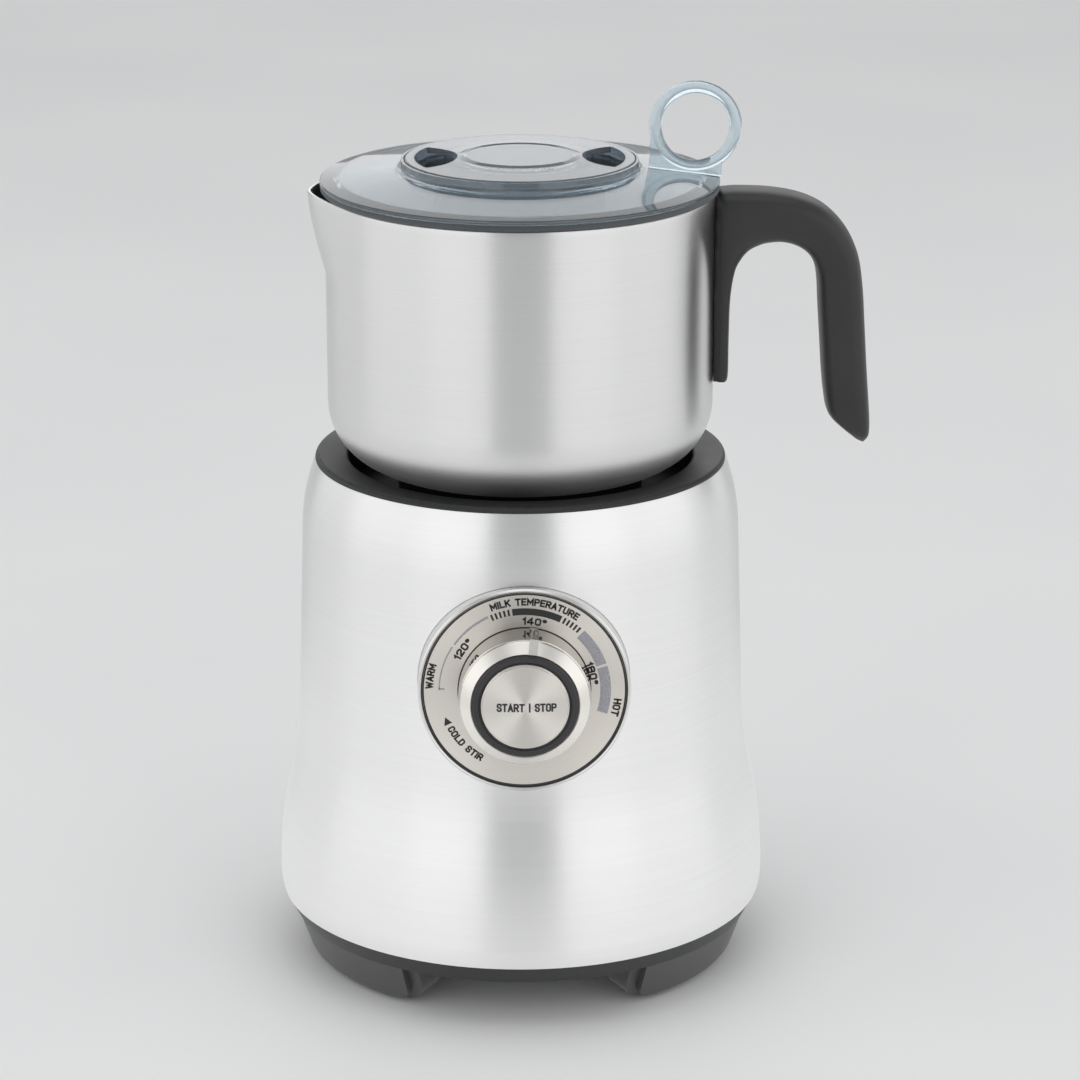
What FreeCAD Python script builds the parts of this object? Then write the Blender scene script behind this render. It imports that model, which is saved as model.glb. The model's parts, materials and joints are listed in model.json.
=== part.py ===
"""Milk frother: an induction power base with a dial, and a lift-off jug with a handle, lid and measuring cap.

Millimetres. The origin is on the surface it stands on, on the upright axis of the base.
+X points to the jug's handle, -Y to the dial and +Z up.
"""
import FreeCAD, Part
import math
import os
from types import SimpleNamespace

import Sketcher

# ---------------------------------------------------------------------------------------------------------------
# Driving dimensions
# ---------------------------------------------------------------------------------------------------------------
SIZES = {
    # spun steel body: outer radii and heights, from its lower edge to the collar
    "body_wall": 0.9,
    "body_foot_radius": 76.4,
    "body_foot_height": 20.1,
    "hip_radius": 77.15,
    "hip_height": 26.0,
    "flank_top_radius": 74.6,
    "flank_top_height": 52.0,
    "flank_low_radius": 71.75,
    "flank_low_height": 66.0,
    "waist_radius": 70.3,
    "waist_height": 80.0,
    "shoulder_radius": 68.3,
    "shoulder_height": 140.0,
    "neck_radius": 63.96,
    "neck_height": 161.3,
    "tuck_curve": 24.0,
    "hip_curve": 130.0,
    "waist_curve": 85.0,
    "shoulder_curve": 63.0,
    # collar and jug well
    "collar_top": 162.8,
    "collar_round": 1.4,
    "well_radius": 53.6,
    "well_floor": 150.4,
    "well_sheet": 2.0,
    "seat_radius": 38.0,
    "seat_top": 159.7,
    # band, feet and bottom cover
    "band_bottom": 14.5,
    "band_bottom_radius": 73.3,
    "band_inner_radius": 60.2,
    "foot_bottom": 1.6,
    "foot_edge_radius": 68.6,
    "foot_sweep": 117.5,
    "foot_inner_radius": 55.0,
    "foot_lobe_sweep": 124.5,
    "foot_lobe_inset": 2.6,
    "foot_lobe_round": 6.5,
    "foot_end_round": 5.0,
    "pad_radius": 3.6,
    "pad_pitch": 60.0,
    "cover_radius": 59.8,
    "cover_bottom": 13.0,
    "cover_sheet": 2.0,
    "cover_screw_pitch": 48.0,
    "vent_length": 44.0,
    "vent_width": 2.6,
    "vent_pitch": 6.5,
    "cord_hole_radius": 3.6,
    "gland_length": 12.0,
    "gland_start": 60.6,
    "gland_height": 8.6,
    "gland_radius": 6.4,
    # chassis inside the body
    "deck_radius": 70.0,
    "deck_bottom": 24.6,
    "deck_sheet": 2.6,
    "pillar_radius": 4.0,
    "pillar_pitch": 52.0,
    "pillar_top": 137.0,
    "top_deck_outer": 57.0,
    "top_deck_inner": 41.0,
    # motor and magnetic drive
    "motor_radius": 18.0,
    "motor_bottom": 92.0,
    "motor_top": 131.0,
    "bracket_sheet": 2.0,
    "motor_screw_pitch": 12.0,
    "shaft_radius": 1.5,
    "shaft_top": 151.0,
    "rotor_radius": 15.5,
    "rotor_bottom": 147.0,
    "rotor_height": 9.6,
    "magnet_radius": 3.6,
    "magnet_pitch": 10.2,
    "magnet_height": 4.0,
    # induction coil under the seat
    "coil_inner": 28.6,
    "coil_step": 2.4,
    "coil_wire": 1.1,
    "coil_lower": 153.4,
    "former_inner": 27.2,
    "former_outer": 35.2,
    "former_bottom": 150.5,
    "former_sheet": 1.6,
    # temperature sensor that presses on the jug
    "sensor_pitch": 22.0,
    "sensor_radius": 3.4,
    "sensor_top": 161.7,
    "sensor_length": 8.0,
    "sensor_travel": 2.0,
    # dial on the front
    "dial_height": 108.2,
    "bezel_radius": 31.95,
    "bezel_lip": 0.95,
    "plate_face": 70.5,
    "plate_radius": 30.6,
    "plate_sheet": 2.5,
    "knob_radius": 19.8,
    "knob_side": 10.6,
    "knob_face": 84.6,
    "knob_face_radius": 15.9,
    "trim_inner": 13.4,
    "button_radius": 13.1,
    "button_face": 86.0,
    "pointer_angle": 8.0,
    "pointer_width": 2.6,
    "hub_radius": 3.9,
    "stem_radius": 2.2,
    "board_plane": 50.0,
    # power electronics and fan
    "board_sheet": 1.6,
    "power_board_bottom": 31.0,
    "fan_side": 50.0,
    "fan_depth": 12.0,
    "fan_front": 44.0,
    "fan_hub_radius": 9.0,
    "fan_blade_radius": 22.4,
    # jug
    "jug_radius": 59.7,
    "jug_wall": 1.0,
    "jug_bottom": 160.0,
    "jug_corner": 20.0,
    "jug_dish_radius": 30.0,
    "jug_dish": 2.0,
    "jug_rim": 245.75,
    "spout_tip": 64.9,
    "spout_bottom": 221.0,
    "spindle_radius": 2.5,
    "spindle_top": 173.0,
    # handle
    "handle_width": 20.0,
    "handle_round": 4.0,
    "strip_inner": 61.5,
    "strip_outer": 64.2,
    # frothing disc
    "disc_radius": 27.0,
    "disc_bottom": 163.8,
    "disc_sheet": 3.4,
    "whisk_radius": 21.5,
    "whisk_wire": 1.3,
    "whisk_height": 171.6,
    # lid, seal and pull ring
    "lid_radius": 61.1,
    "lid_edge": 249.3,
    "lid_rise": 3.0,
    "lid_hole": 34.2,
    "cap_pocket_radius": 35.55,
    "lid_collar_radius": 36.7,
    "lid_collar_top": 255.1,
    "seal_bottom": 246.05,
    "seal_top": 247.7,
    "skirt_radius": 56.6,
    "skirt_bottom": 238.5,
    "ring_centre": 53.5,
    "ring_height": 264.7,
    "ring_outer": 14.15,
    "ring_inner": 10.3,
    "ring_foot_thick": 3.2,
    # measuring cap
    "cap_radius": 35.2,
    "cap_rim": 255.4,
    "cap_sheet": 2.0,
    "cap_dome": 256.4,
    "cap_dome_radius": 17.2,
    "cup_radius": 26.0,
    "cup_wall": 1.6,
    "cup_bottom": 226.0,
    "finger_centre": 36.0,
    "finger_radius": 17.0,
    "finger_limit": 32.2,
    "finger_depth": 8.0,
}

DOCUMENT = FreeCAD.newDocument("MilkFrother")
SHEET = DOCUMENT.addObject("Spreadsheet::Sheet", "Sizes")
for row, (alias, millimetres) in enumerate(SIZES.items(), start=1):
    SHEET.set(f"A{row}", alias)
    SHEET.set(f"B{row}", str(millimetres))
    SHEET.setAlias(f"B{row}", alias)
DOCUMENT.recompute()


# ---------------------------------------------------------------------------------------------------------------
# Lengths that follow the sheet
# ---------------------------------------------------------------------------------------------------------------
class Size:
    """A number that keeps both its value and the sheet expression that gives it."""

    def __init__(self, value, text=None):
        self.value = float(value)
        self.text = text or f"{self.value:.6f}"

    def __add__(self, other):
        other = as_size(other)
        return Size(self.value + other.value, f"({self.text} + {other.text})")

    def __sub__(self, other):
        other = as_size(other)
        return Size(self.value - other.value, f"({self.text} - {other.text})")

    def __mul__(self, other):
        other = as_size(other)
        return Size(self.value * other.value, f"({self.text} * {other.text})")

    def __truediv__(self, other):
        other = as_size(other)
        return Size(self.value / other.value, f"({self.text} / {other.text})")

    def __rsub__(self, other):
        return as_size(other) - self

    def __neg__(self):
        return as_size(0) - self

    __radd__ = __add__
    __rmul__ = __mul__


def as_size(thing):
    return thing if isinstance(thing, Size) else Size(thing)


S = SimpleNamespace(**{alias: Size(value, f"Sizes.{alias}") for alias, value in SIZES.items()})
PARTS = []


def bind(feature, field, size):
    feature.setExpression(field, as_size(size).text)


def keep(feature, label):
    """Marks an object as a sub-part, under the name that its file gets."""
    feature.Label = label
    PARTS.append(feature)
    return feature


def move(feature, x=0, y=0, z=0):
    """Binds an object's place, and leaves the way that it is turned."""
    for axis, size in (("x", x), ("y", y), ("z", z)):
        if isinstance(size, Size) or size:
            bind(feature, f"Placement.Base.{axis}", size)
    return feature


def turn(feature, axis, degrees):
    feature.Placement.Rotation = FreeCAD.Rotation(FreeCAD.Vector(*axis), degrees)
    return feature


# ---------------------------------------------------------------------------------------------------------------
# Sketches and PartDesign bodies
# ---------------------------------------------------------------------------------------------------------------
def new_body(name):
    return DOCUMENT.addObject("PartDesign::Body", name)


def new_sketch(body, plane, offset=0):
    sketch = body.newObject("Sketcher::SketchObject", f"{body.Name}_sketch")
    origin_plane = next(item for item in body.Origin.OriginFeatures if item.Role == plane)
    sketch.AttachmentSupport = [(origin_plane, "")]
    sketch.MapMode = "FlatFace"
    bind(sketch, "AttachmentOffset.Base.z", offset)
    return sketch


def hold(sketch, kind, geometry, point, size):
    """Holds one coordinate of a sketch point to a size."""
    size = as_size(size)
    number = sketch.addConstraint(Sketcher.Constraint(kind, -1, 1, geometry, point, size.value))
    bind(sketch, f"Constraints[{number}]", size)


def hold_radius(sketch, geometry, size):
    number = sketch.addConstraint(Sketcher.Constraint("Radius", geometry, abs(size.value)))
    bind(sketch, f"Constraints[{number}]", size if size.value > 0 else -size)


def arc_between(start, end, radius):
    """Arc of less than half a circle; a positive radius turns anticlockwise from start to end."""
    half = (end - start) * 0.5
    rise = math.sqrt(max(radius * radius - half.Length * half.Length, 0.0))
    side = FreeCAD.Vector(-half.y, half.x, 0).normalize() * math.copysign(rise, radius)
    centre = start + half + side
    first, last = (start, end) if radius > 0 else (end, start)
    low = math.atan2(first.y - centre.y, first.x - centre.x)
    high = math.atan2(last.y - centre.y, last.x - centre.x)
    if high < low:
        high += 2 * math.pi
    circle = Part.Circle(centre, FreeCAD.Vector(0, 0, 1), abs(radius))
    return Part.ArcOfCircle(circle, low, high)


def draw_outline(sketch, points):
    """Closed outline. A point is (x, y), or (x, y, radius) where an arc of that radius leads to it."""
    points = [tuple(as_size(number) for number in point) for point in points]
    edges = []
    for before, point in zip(points[-1:] + points[:-1], points):
        start = FreeCAD.Vector(before[0].value, before[1].value, 0)
        end = FreeCAD.Vector(point[0].value, point[1].value, 0)
        if len(point) == 2:
            edges.append((sketch.addGeometry(Part.LineSegment(start, end), False), 1, 2))
        else:
            clockwise = point[2].value < 0
            number = sketch.addGeometry(arc_between(start, end, point[2].value), False)
            edges.append((number, 2, 1) if clockwise else (number, 1, 2))
    for (number, _, last), (following, first, _) in zip(edges, edges[1:] + edges[:1]):
        sketch.addConstraint(Sketcher.Constraint("Coincident", number, last, following, first))
    for (number, _, last), point in zip(edges, points):
        hold(sketch, "DistanceX", number, last, point[0])
        hold(sketch, "DistanceY", number, last, point[1])
        if len(point) == 3:
            hold_radius(sketch, number, point[2])


def draw_circle(sketch, x, y, radius):
    x, y, radius = as_size(x), as_size(y), as_size(radius)
    circle = Part.Circle(FreeCAD.Vector(x.value, y.value, 0), FreeCAD.Vector(0, 0, 1), radius.value)
    number = sketch.addGeometry(circle, False)
    hold(sketch, "DistanceX", number, 3, x)
    hold(sketch, "DistanceY", number, 3, y)
    hold_radius(sketch, number, radius)


def revolve(body, points, plane="XZ_Plane", sweep=360, kind="PartDesign::Revolution"):
    """Turns an outline about the upright axis, or on the YZ plane about the front-to-back axis."""
    sketch = new_sketch(body, plane)
    draw_outline(sketch, points)
    feature = body.newObject(kind, f"{body.Name}_turned")
    feature.Profile = sketch
    feature.ReferenceAxis = (sketch, ["V_Axis" if plane == "XZ_Plane" else "H_Axis"])
    feature.Midplane = True
    if isinstance(sweep, Size):
        bind(feature, "Angle", sweep)
    else:
        feature.Angle = sweep
    body.Tip = feature
    return feature


def extrude(body, sketch, length, kind="PartDesign::Pad", both_ways=False, reverse=False):
    feature = body.newObject(kind, f"{body.Name}_extruded")
    feature.Profile = sketch
    bind(feature, "Length", length)
    if both_ways:
        feature.Midplane = True
    feature.Reversed = reverse
    body.Tip = feature
    return feature


def turned_part(label, points, plane="XZ_Plane", sweep=360):
    body = new_body(label)
    revolve(body, points, plane, sweep)
    return keep(body, label)


def dial_part(label, points):
    """A piece turned about the dial's axis. A point is (distance in front of the base's axis, radius)."""
    body = turned_part(label, [(-point[0], *point[1:]) for point in points], "YZ_Plane")
    return move(body, z=S.dial_height)


def round_edges(body, radius, wanted):
    """Fillets the edges of a body's last feature for which wanted(edge) is true."""
    DOCUMENT.recompute()
    base = body.Tip
    names = [f"Edge{n}" for n, edge in enumerate(base.Shape.Edges, start=1) if wanted(edge)]
    feature = body.newObject("PartDesign::Fillet", f"{body.Name}_rounded")
    feature.Base = (base, names)
    bind(feature, "Radius", radius)
    body.Tip = feature
    return feature


# ---------------------------------------------------------------------------------------------------------------
# Part primitives
# ---------------------------------------------------------------------------------------------------------------
ALONG = {"Z": ((0, 0, 1), 0), "Y": ((1, 0, 0), -90), "X": ((0, 1, 0), 90)}


def cylinder(name, radius, height, x=0, y=0, z=0, along="Z"):
    feature = DOCUMENT.addObject("Part::Cylinder", name)
    bind(feature, "Radius", radius)
    bind(feature, "Height", height)
    return move(turn(feature, *ALONG[along]), x, y, z)


def block(name, length, width, height, x=0, y=0, z=0):
    """A box centred on x and y that stands on z."""
    feature = DOCUMENT.addObject("Part::Box", name)
    bind(feature, "Length", length)
    bind(feature, "Width", width)
    bind(feature, "Height", height)
    return move(feature, x - as_size(length) / 2, y - as_size(width) / 2, z)


def torus(name, ring, wire, x=0, y=0, z=0):
    feature = DOCUMENT.addObject("Part::Torus", name)
    bind(feature, "Radius1", ring)
    bind(feature, "Radius2", wire)
    return move(feature, x, y, z)


def fuse(name, shapes):
    feature = DOCUMENT.addObject("Part::MultiFuse", name)
    feature.Shapes = list(shapes)
    return feature


def group(name, shapes):
    """Several separate solids that share one sub-part."""
    feature = DOCUMENT.addObject("Part::Compound", name)
    feature.Links = list(shapes)
    return feature


def cut(name, base, *tools):
    tool = tools[0] if len(tools) == 1 else fuse(f"{name}_tools", tools)
    feature = DOCUMENT.addObject("Part::Cut", name)
    feature.Base = base
    feature.Tool = tool
    return feature


def around(count, pitch, start=0):
    """Places on a circle about the upright axis."""
    for number in range(count):
        angle = math.radians(start + 360 * number / count)
        yield number, pitch * math.cos(angle), pitch * math.sin(angle)


def screw(name, x, y, z, length, up=True, head=3.0):
    """Pan-head screw whose head is at z, with its shank above the head, or below it."""
    head_height = 1.6
    shank_start = z if up else z - length
    head_start = z - head_height if up else z
    shank = cylinder(f"{name}_shank", 1.45, length, x, y, shank_start)
    top = cylinder(f"{name}_head", head, head_height, x, y, head_start)
    return fuse(name, (shank, top))


# ---------------------------------------------------------------------------------------------------------------
# Power base: outside
# ---------------------------------------------------------------------------------------------------------------
def body_curve(inset):
    """The body's wall from its lower edge to the collar, moved inwards by inset. Arcs are seen from outside."""
    return [
        (S.body_foot_radius - inset, S.body_foot_height),
        (S.hip_radius - inset, S.hip_height, S.tuck_curve),
        (S.flank_top_radius - inset, S.flank_top_height, S.hip_curve),
        (S.flank_low_radius - inset, S.flank_low_height),
        (S.waist_radius - inset, S.waist_height, -S.waist_curve),
        (S.shoulder_radius - inset, S.shoulder_height),
        (S.neck_radius - inset, S.neck_height, S.shoulder_curve),
    ]


def reversed_curve(points):
    """The same curve walked the other way, so that each arc leads to the point before it."""
    walked = []
    for number in range(len(points) - 1, -1, -1):
        arc = points[number + 1][2:] if number + 1 < len(points) else ()
        walked.append((*points[number][:2], *(-radius for radius in arc)))
    return walked


def steel_body_shell():
    body = new_body("steel_body_shell")
    revolve(body, body_curve(0) + reversed_curve(body_curve(S.body_wall)))
    hole = new_sketch(body, "XZ_Plane")
    draw_circle(hole, 0, S.dial_height, S.bezel_radius + 0.1)
    extrude(body, hole, S.hip_radius, kind="PartDesign::Pocket", reverse=True)
    return keep(body, "steel_body_shell")


def top_collar():
    spigot = S.neck_radius - S.body_wall - 0.3
    lip = S.neck_height + 0.05
    turned_part("top_collar", [
        (S.neck_radius - 0.05, lip),
        (S.neck_radius - 0.05 - S.collar_round, S.collar_top - 0.05, S.collar_round),
        (S.well_radius + 1.0, S.collar_top - 0.4),
        (S.well_radius, S.collar_top - 1.4, 1.0),
        (S.well_radius, S.well_floor),
        (S.well_radius + 1.8, S.well_floor),
        (S.well_radius + 1.8, S.neck_height - 3),
        (spigot, S.neck_height - 3),
        (spigot, lip),
    ])


def jug_well():
    under = S.seat_top - S.well_sheet
    inner = S.seat_radius - S.well_sheet
    body = new_body("jug_well")
    revolve(body, [
        (0, under),
        (inner, under),
        (inner, S.well_floor - S.well_sheet),
        (S.well_radius + 3.2, S.well_floor - S.well_sheet),
        (S.well_radius + 3.2, S.well_floor),
        (S.seat_radius, S.well_floor),
        (S.seat_radius, S.seat_top - 1.2),
        (S.seat_radius - 1.2, S.seat_top, 1.2),
        (0, S.seat_top),
    ])
    hole = new_sketch(body, "XY_Plane", S.seat_top)
    draw_circle(hole, 0, S.sensor_pitch, S.sensor_radius + 0.4)
    extrude(body, hole, S.well_sheet + 1, kind="PartDesign::Pocket")
    keep(body, "jug_well")


def base_band():
    lip = S.body_foot_radius - S.body_wall - 0.7
    turned_part("base_band", [
        (S.band_inner_radius, S.band_bottom),
        (S.band_bottom_radius, S.band_bottom),
        (S.body_foot_radius - 0.2, S.body_foot_height - 0.1),
        (lip, S.body_foot_height - 0.1),
        (lip, S.deck_bottom - 0.1),
        (lip - 2.2, S.deck_bottom - 0.1),
        (lip - 2.2, S.band_bottom + 3),
        (S.band_inner_radius, S.band_bottom + 3),
    ])


def feet():
    """Two wide skirts with an arch between them at the front and the back, each with a lobe set in at its ends."""
    step = S.cover_bottom - 0.5
    for label, heading in (("right_foot", 0), ("left_foot", 180)):
        skirt = new_body(f"{label}_skirt")
        revolve(skirt, [
            (S.foot_inner_radius, S.foot_bottom),
            (S.foot_edge_radius - 1.2, S.foot_bottom),
            (S.foot_edge_radius, S.foot_bottom + 1.0, 1.4),
            (S.band_bottom_radius - 0.4, S.band_bottom),
            (S.band_inner_radius, S.band_bottom),
            (S.band_inner_radius, step),
            (S.foot_inner_radius, step),
        ], sweep=S.foot_sweep)
        round_edges(skirt, S.foot_end_round, end_of_foot)
        lobe = new_body(f"{label}_lobe")
        revolve(lobe, [
            (S.foot_inner_radius, S.foot_bottom),
            (S.foot_edge_radius - S.foot_lobe_inset - 0.6, S.foot_bottom),
            (S.band_bottom_radius - S.foot_lobe_inset, S.band_bottom),
            (S.band_inner_radius, S.band_bottom),
            (S.band_inner_radius, step),
            (S.foot_inner_radius, step),
        ], sweep=S.foot_lobe_sweep)
        round_edges(lobe, S.foot_lobe_round, end_of_foot)
        keep(turn(fuse(label, (skirt, lobe)), (0, 0, 1), heading), label)


def end_of_foot(edge):
    """True for the straight bottom edge at either end of a foot."""
    low = edge.BoundBox
    return low.ZLength < 0.01 and low.ZMax < SIZES["foot_bottom"] + 0.01 and edge.Curve.TypeId == "Part::GeomLine"


def rubber_feet():
    pads = []
    for number, heading in enumerate((-42, 42, 138, 222)):
        turned = math.radians(heading)
        x, y = S.pad_pitch * math.cos(turned), S.pad_pitch * math.sin(turned)
        pads.append(cylinder(f"pad_{number}", S.pad_radius, S.foot_bottom, x, y))
    keep(group("rubber_feet", pads), "rubber_feet")


def bottom_cover():
    body = new_body("bottom_cover")
    disc = new_sketch(body, "XY_Plane", S.cover_bottom)
    draw_circle(disc, 0, 0, S.cover_radius)
    for _, x, y in around(4, S.cover_screw_pitch, 45):
        draw_circle(disc, x, y, 1.7)
    extrude(body, disc, S.cover_sheet)
    slot = new_sketch(body, "XY_Plane", S.cover_bottom)
    half, edge = S.vent_length / 2, S.vent_pitch * -2.5
    draw_outline(slot, [
        (-half, edge),
        (half, edge),
        (half, edge + S.vent_width),
        (-half, edge + S.vent_width),
    ])
    vent = extrude(body, slot, S.cover_sheet, kind="PartDesign::Pocket", reverse=True)
    DOCUMENT.recompute()
    row = body.newObject("PartDesign::LinearPattern", "vent_row")
    row.Originals = [vent]
    row.Direction = (slot, ["V_Axis"])
    bind(row, "Length", S.vent_pitch * 5)
    row.Occurrences = 6
    body.Tip = row
    keep(body, "bottom_cover")


def cord_gland():
    """Round bush for the mains lead, under the body at the back, between the feet."""
    bush = cylinder("gland_bush", S.gland_radius - 0.9, S.gland_length, 0, S.gland_start, S.gland_height, "Y")
    saddle = block("gland_saddle", 2 * S.gland_radius, S.gland_length, S.band_bottom - S.gland_height,
                   0, S.gland_start + S.gland_length / 2, S.gland_height)
    bore = cylinder("gland_bore", S.cord_hole_radius, S.gland_length + 2, 0, S.gland_start - 1, S.gland_height, "Y")
    keep(cut("cord_gland", fuse("gland_solid", (bush, saddle)), bore), "cord_gland")


def cover_screws():
    screws = [screw(f"cover_screw_{number}", x, y, S.cover_bottom, 14.2)
              for number, x, y in around(4, S.cover_screw_pitch, 45)]
    keep(group("cover_screws", screws), "cover_screws")


# ---------------------------------------------------------------------------------------------------------------
# Power base: dial
# ---------------------------------------------------------------------------------------------------------------
def dial():
    ledge = S.plate_face - S.plate_sheet
    lip = S.bezel_radius - S.bezel_lip
    dial_part("dial_bezel", [
        (57.5, S.bezel_radius - 1.5),
        (57.5, S.bezel_radius),
        (S.plate_face, S.bezel_radius),
        (S.plate_face + 0.6, S.bezel_radius - 0.5),
        (S.plate_face + 0.4, lip),
        (ledge, lip),
        (ledge, lip - 2.5),
        (ledge - 2, lip - 2.5),
        (ledge - 2, S.bezel_radius - 1.5),
    ])
    dial_part("dial_gasket", [
        (ledge, S.plate_radius + 0.03),
        (ledge, lip - 0.03),
        (S.plate_face - 0.2, lip - 0.03),
        (S.plate_face - 0.2, S.plate_radius + 0.03),
    ])
    dial_part("dial_plate", [
        (ledge, S.hub_radius + 0.7),
        (ledge, S.plate_radius),
        (S.plate_face - 0.15, S.plate_radius),
        (S.plate_face, S.plate_radius - 0.15),
        (S.plate_face, S.hub_radius + 0.7),
    ])
    dial_part("dial_encoder", [
        (S.board_plane, S.hub_radius + 0.3),
        (S.board_plane, 12.0),
        (S.board_plane + 9, 12.0),
        (S.board_plane + 9, 7.5),
        (S.board_plane + 13, 7.5),
        (S.board_plane + 13, S.hub_radius + 0.3),
    ])
    dial_part("button_switch", [
        (S.board_plane, 0),
        (S.board_plane, 3.2),
        (S.board_plane + 2.8, 3.2),
        (S.board_plane + 2.8, 1.6),
        (S.board_plane + 3.6, 1.6),
        (S.board_plane + 3.6, 0),
    ])
    board = block("control_board", 58, S.board_sheet, 44, 0, -(S.board_plane - S.board_sheet / 2),
                  S.dial_height - 22)
    keep(board, "control_board")


def temperature_knob():
    back = S.plate_face + 0.4
    step = S.knob_face - 4.1
    dial_part("knob_ring", [
        (back, S.knob_radius - 2.2),
        (back, S.knob_radius),
        (back + S.knob_side - 0.6, S.knob_radius),
        (back + S.knob_side, S.knob_radius - 0.5, -0.6),
        (S.knob_face, S.knob_face_radius + 0.4),
        (S.knob_face - 0.3, S.knob_face_radius),
        (step, S.knob_face_radius),
        (step, S.knob_radius - 2.2),
    ])
    dial_part("knob_trim_ring", [
        (step, S.trim_inner),
        (step, S.knob_face_radius - 0.05),
        (S.knob_face - 0.1, S.knob_face_radius - 0.05),
        (S.knob_face + 0.4, S.knob_face_radius - 0.6, -0.6),
        (S.knob_face + 0.4, S.trim_inner + 0.5),
        (S.knob_face - 0.1, S.trim_inner, -0.6),
    ])
    dial_part("knob_hub", [
        (S.board_plane + 5, S.stem_radius + 0.4),
        (S.board_plane + 5, S.hub_radius),
        (step - 2.6, S.hub_radius),
        (step - 2.6, S.knob_radius - 2.3),
        (step, S.knob_radius - 2.3),
        (step, S.stem_radius + 0.4),
    ])
    pointer = new_body("knob_pointer")
    side = new_sketch(pointer, "YZ_Plane")
    tip = S.knob_radius + 0.25
    draw_outline(side, [
        (-back - 0.3, S.knob_radius + 0.02),
        (-back - 0.3, tip),
        (-back - S.knob_side - 0.1, tip),
        (-S.knob_face - 0.25, S.knob_face_radius + 0.4),
        (-S.knob_face - 0.02, S.knob_face_radius + 0.4),
        (-back - S.knob_side - 0.02, S.knob_radius - 0.4),
        (-back - S.knob_side + 0.5, S.knob_radius + 0.02),
    ])
    extrude(pointer, side, S.pointer_width, both_ways=True)
    pointer.Placement.Rotation = FreeCAD.Rotation(FreeCAD.Vector(0, 1, 0), SIZES["pointer_angle"])
    move(pointer, z=S.dial_height)
    keep(pointer, "knob_pointer")


def start_stop_button():
    back = S.button_face - 3.2
    dial_part("button_cap", [
        (back, 0),
        (back, S.button_radius),
        (S.button_face - 1.1, S.button_radius),
        (S.button_face - 0.6, S.button_radius - 0.5, -0.5),
        (S.button_face, 0, -140),
    ])
    dial_part("button_stem", [
        (S.board_plane + 5.3, 0),
        (S.board_plane + 5.3, S.stem_radius),
        (back, S.stem_radius),
        (back, 0),
    ])


# ---------------------------------------------------------------------------------------------------------------
# Power base: inside
# ---------------------------------------------------------------------------------------------------------------
def inner_chassis():
    lower = cylinder("lower_deck", S.deck_radius, S.deck_sheet, z=S.deck_bottom)
    upper = cylinder("upper_deck", S.top_deck_outer, 3, z=S.pillar_top)
    pillars = [
        cylinder(f"pillar_{number}", S.pillar_radius, S.pillar_top - S.deck_bottom, x, y, S.deck_bottom)
        for number, x, y in around(4, S.pillar_pitch, 45)
    ]
    window = cylinder("upper_deck_window", S.top_deck_inner, 5, z=S.pillar_top - 1)
    vent = cylinder("lower_deck_window", 20, 6, z=S.deck_bottom - 1)
    holes = [cylinder(f"deck_hole_{number}", 1.7, 6, x, y, S.deck_bottom - 1)
             for number, x, y in around(4, S.cover_screw_pitch, 45)]
    solid = fuse("chassis_solid", [lower, upper, *pillars])
    keep(cut("inner_chassis", solid, window, vent, *holes), "inner_chassis")


def motor():
    can = cylinder("motor_barrel", S.motor_radius, S.motor_top - S.motor_bottom, z=S.motor_bottom)
    tail = cylinder("motor_tail", 6, 3, z=S.motor_bottom - 3)
    bore = cylinder("motor_bore", S.shaft_radius + 0.3, S.motor_top - S.motor_bottom, z=S.motor_bottom + 6)
    keep(cut("motor_can", fuse("motor_solid", (can, tail)), bore), "motor_can")
    plate = cylinder("bracket_plate", S.pillar_pitch + 6, S.bracket_sheet, z=S.motor_top)
    holes = [cylinder(f"bracket_pillar_hole_{number}", S.pillar_radius + 0.15, 6, x, y, S.motor_top - 2)
             for number, x, y in around(4, S.pillar_pitch, 45)]
    holes += [cylinder(f"bracket_screw_hole_{number}", 1.7, 6, x, y, S.motor_top - 2)
              for number, x, y in around(2, S.motor_screw_pitch, 0)]
    holes.append(cylinder("bracket_shaft_hole", 4.2, 6, z=S.motor_top - 2))
    keep(cut("motor_bracket", plate, *holes), "motor_bracket")
    screws = [screw(f"motor_screw_{number}", x, y, S.motor_top + S.bracket_sheet, S.bracket_sheet, up=False)
              for number, x, y in around(2, S.motor_screw_pitch, 0)]
    keep(group("motor_screws", screws), "motor_screws")
    bearing = cylinder("bearing_ring", 4.1, 4, z=S.motor_top)
    keep(cut("shaft_bearing", bearing, cylinder("bearing_bore", S.shaft_radius + 0.05, 6, z=S.motor_top - 1)),
         "shaft_bearing")


def drive_rotor():
    length = S.shaft_top - S.motor_bottom - 8
    keep(cylinder("drive_shaft", S.shaft_radius, length, z=S.motor_bottom + 8), "drive_shaft")
    wheel = cylinder("carrier_disc", S.rotor_radius, S.rotor_height, z=S.rotor_bottom)
    magnet_bottom = S.rotor_bottom + S.rotor_height - S.magnet_height
    shaft_hole = cylinder("carrier_bore", S.shaft_radius, S.shaft_top - S.rotor_bottom + 1, z=S.rotor_bottom - 1)
    pockets, magnets = [], []
    for number, x, y in around(4, S.magnet_pitch):
        pockets.append(cylinder(f"magnet_pocket_{number}", S.magnet_radius + 0.1, 10, x, y, magnet_bottom))
        magnets.append(cylinder(f"magnet_{number}", S.magnet_radius, S.magnet_height - 0.3, x, y, magnet_bottom))
    keep(cut("magnet_carrier", wheel, shaft_hole, *pockets), "magnet_carrier")
    keep(group("drive_magnets", magnets), "drive_magnets")


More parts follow.
